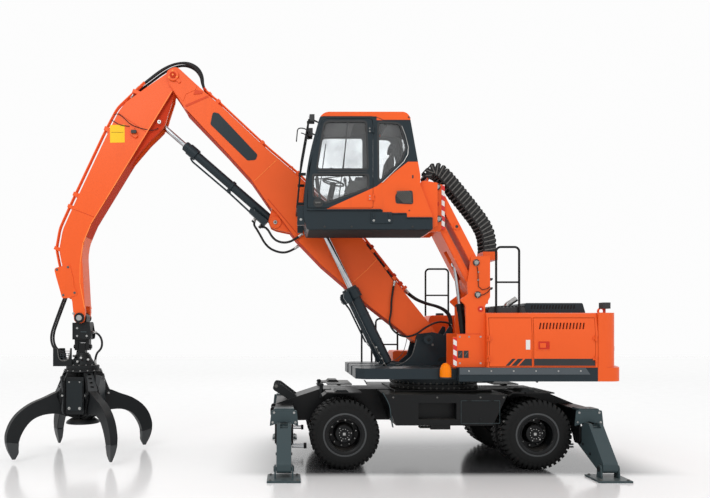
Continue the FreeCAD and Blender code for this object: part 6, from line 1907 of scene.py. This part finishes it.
def make_undercarriage_details():
    work = Piece("undercarriage_fittings", "undercarriage", "chassis_paint", black, 0.004)
    for z in (1.252, 1.176):
        for turn in range(48):
            angle = turn * math.tau / 48
            away = Vector((math.cos(angle), math.sin(angle), 0))
            work.bolt(W(0, 0, z) + away * 0.716, away, 0.012, trim)
    for side in BOTH_SIDES:
        add_box_details(work, side)
    # two-plate arm on the front
    plate = [(-2.30, 0.93), (-2.335, 0.90), (-2.45, 0.98, 0.1), (-2.70, 1.14, 0.06), (-2.655, 1.235, 0.06),
             (-2.56, 1.22, 0.05), (-2.27, 1.0), (-2.22, 0.93)]
    for y in (-0.36, -0.20, 0.20, 0.346):
        work.xz(plate, y, y + 0.018, cast)
        work.bolt(W(-2.63, y if y < 0 else y + 0.018, 1.185), SIDE * (-1 if y < 0 else 1), 0.02, trim)
    for y0, y1 in ((-0.36, -0.18), (0.20, 0.36)):
        work.rod(W(-2.63, y0, 1.185), W(-2.63, y1, 1.185), 0.03, 20, cast)
    for end, way in ((-2.5, 1), (2.07, -1)):
        for side in BOTH_SIDES:
            add_stabiliser_hood(work, end, side, way)
    work.make()
    for name in CORNERS:
        make_leg_details(name)


# ================================================================ frame bracket
def make_frame_details():
    work = Piece("revolving_frame_fittings", "upper", "slate_paint", slate, 0.003)
    for out in BOTH_SIDES:
        y, way = 0.445 * out, SIDE * out
        work.discs(W(-0.167, y, 1.944), way, (0, 0.014, 0.075, 32, slate, 0.004),
                   (0.012, 0.024, 0.03, 24, cast, 0.003))
        work.bolt(W(-0.10, y, 1.86), way, 0.014, trim)
        # two holes in each side, drawn as dark shapes of painted shade
        for hole in ([(-0.16, 1.46, 0.04), (-0.155, 1.52, 0.04), (0.03, 1.545, 0.03), (0.045, 1.47, 0.04)],
                     [(-0.02, 1.585, 0.03), (-0.015, 1.645, 0.03), (0.14, 1.68, 0.03), (0.15, 1.62, 0.03)]):
            work.xz(hole, *sorted((y, y + 0.004 * out)), shade_black)
        for x, z in ((-0.13, 1.49), (-0.09, 1.50)):
            work.bolt(W(x, y + 0.004 * out, z), way, 0.013, bare)
        work.discs(W(-0.768, 0.425 * out, 1.461), way, (0, 0.03, 0.055, 28, slate, 0.004),
                   (0.028, 0.04, 0.03, 20, bare, 0.003))
        edge = ((-0.70, 1.53), (-0.58, 1.56), (-0.45, 1.66), (-0.39, 1.80), (-0.36, 1.95))
        work.wire(smooth_line([W(x, y, z) for x, z in edge]), 0.006, 8, trim)
    work.make()


# ================================================================ camera, light and floor
def make_camera():
    data = bpy.data.cameras.new("view")
    data.sensor_width = 36.0
    data.lens = 34.67
    data.shift_x, data.shift_y = 0.0958, 0.111
    camera = linked("view", data)
    camera.location = (SLEW_X - 2.456, -11.5, 2.136)
    camera.rotation_euler = (math.radians(90), 0, 0)
    bpy.context.scene.camera = camera


def make_light():
    for name, place, aim, power in (("key", (-7, -14, 13), (0, 0, 2.5), 950),
                                    ("fill", (12, -10, 6), (0, 0, 2), 150),
                                    ("back", (3, 14, 11), (0, 0, 2.5), 250)):
        data = bpy.data.lights.new(name, "AREA")
        data.size, data.energy = 8, power
        lamp = linked(name, data)
        lamp.location = place
        lamp.rotation_euler = (Vector(aim) - Vector(place)).to_track_quat("-Z", "Y").to_euler()
    world = bpy.data.worlds.new("soft")
    world.use_nodes = True
    world.node_tree.nodes["Background"].inputs[0].default_value = (1.0, 1.0, 1.0, 1)
    world.node_tree.nodes["Background"].inputs[1].default_value = 0.98
    bpy.context.scene.world = world
    bpy.context.scene.view_settings.view_transform = "Standard"


def make_floor():
    """White studio floor, grey where the machine shades it."""
    bpy.ops.mesh.primitive_plane_add(size=80)
    floor = bpy.context.object
    floor.name = "floor"
    finish = Finish("floor")
    x = finish.x - SLEW_X
    depth = finish.y.ramp(-1.75, -1.35) * (finish.y.ramp(-0.3, 3.4) * -1.0 + 1.0)
    width = x.ramp(-3.6, -1.9) * (x.ramp(2.2, 3.6) * -1.0 + 1.0)
    finish.colour(finish.mix((0.87, 0.87, 0.87), (0.05, 0.05, 0.052), depth * width))
    finish.rough(finish.noise(3.0, 3) * 0.03 + 0.13)
    floor.data.materials.append(finish.material)


make_door()
make_cab_trim()
make_windscreen_guard()
make_cab_lamps()
make_interior()
make_body_doors()
make_body_details()
make_tower_details()
make_carrier_details()
for link_name in ("lower", "upper"):
    make_link_details(link_name)
make_wheels()
make_chain()
make_hoses()
make_boom_details()
make_arm_details()
make_arm_cylinder_details()
make_boom_cylinder_details()
make_cab_shades_and_slats()
make_hanger_details()
make_rotator_details()
make_grapple_covers()
for claw_number in CLAWS:
    make_cylinder_guard(claw_number)
    make_claw(claw_number)
    make_tine_details(claw_number)
make_undercarriage_details()
make_frame_details()
make_camera()
make_light()
make_floor()
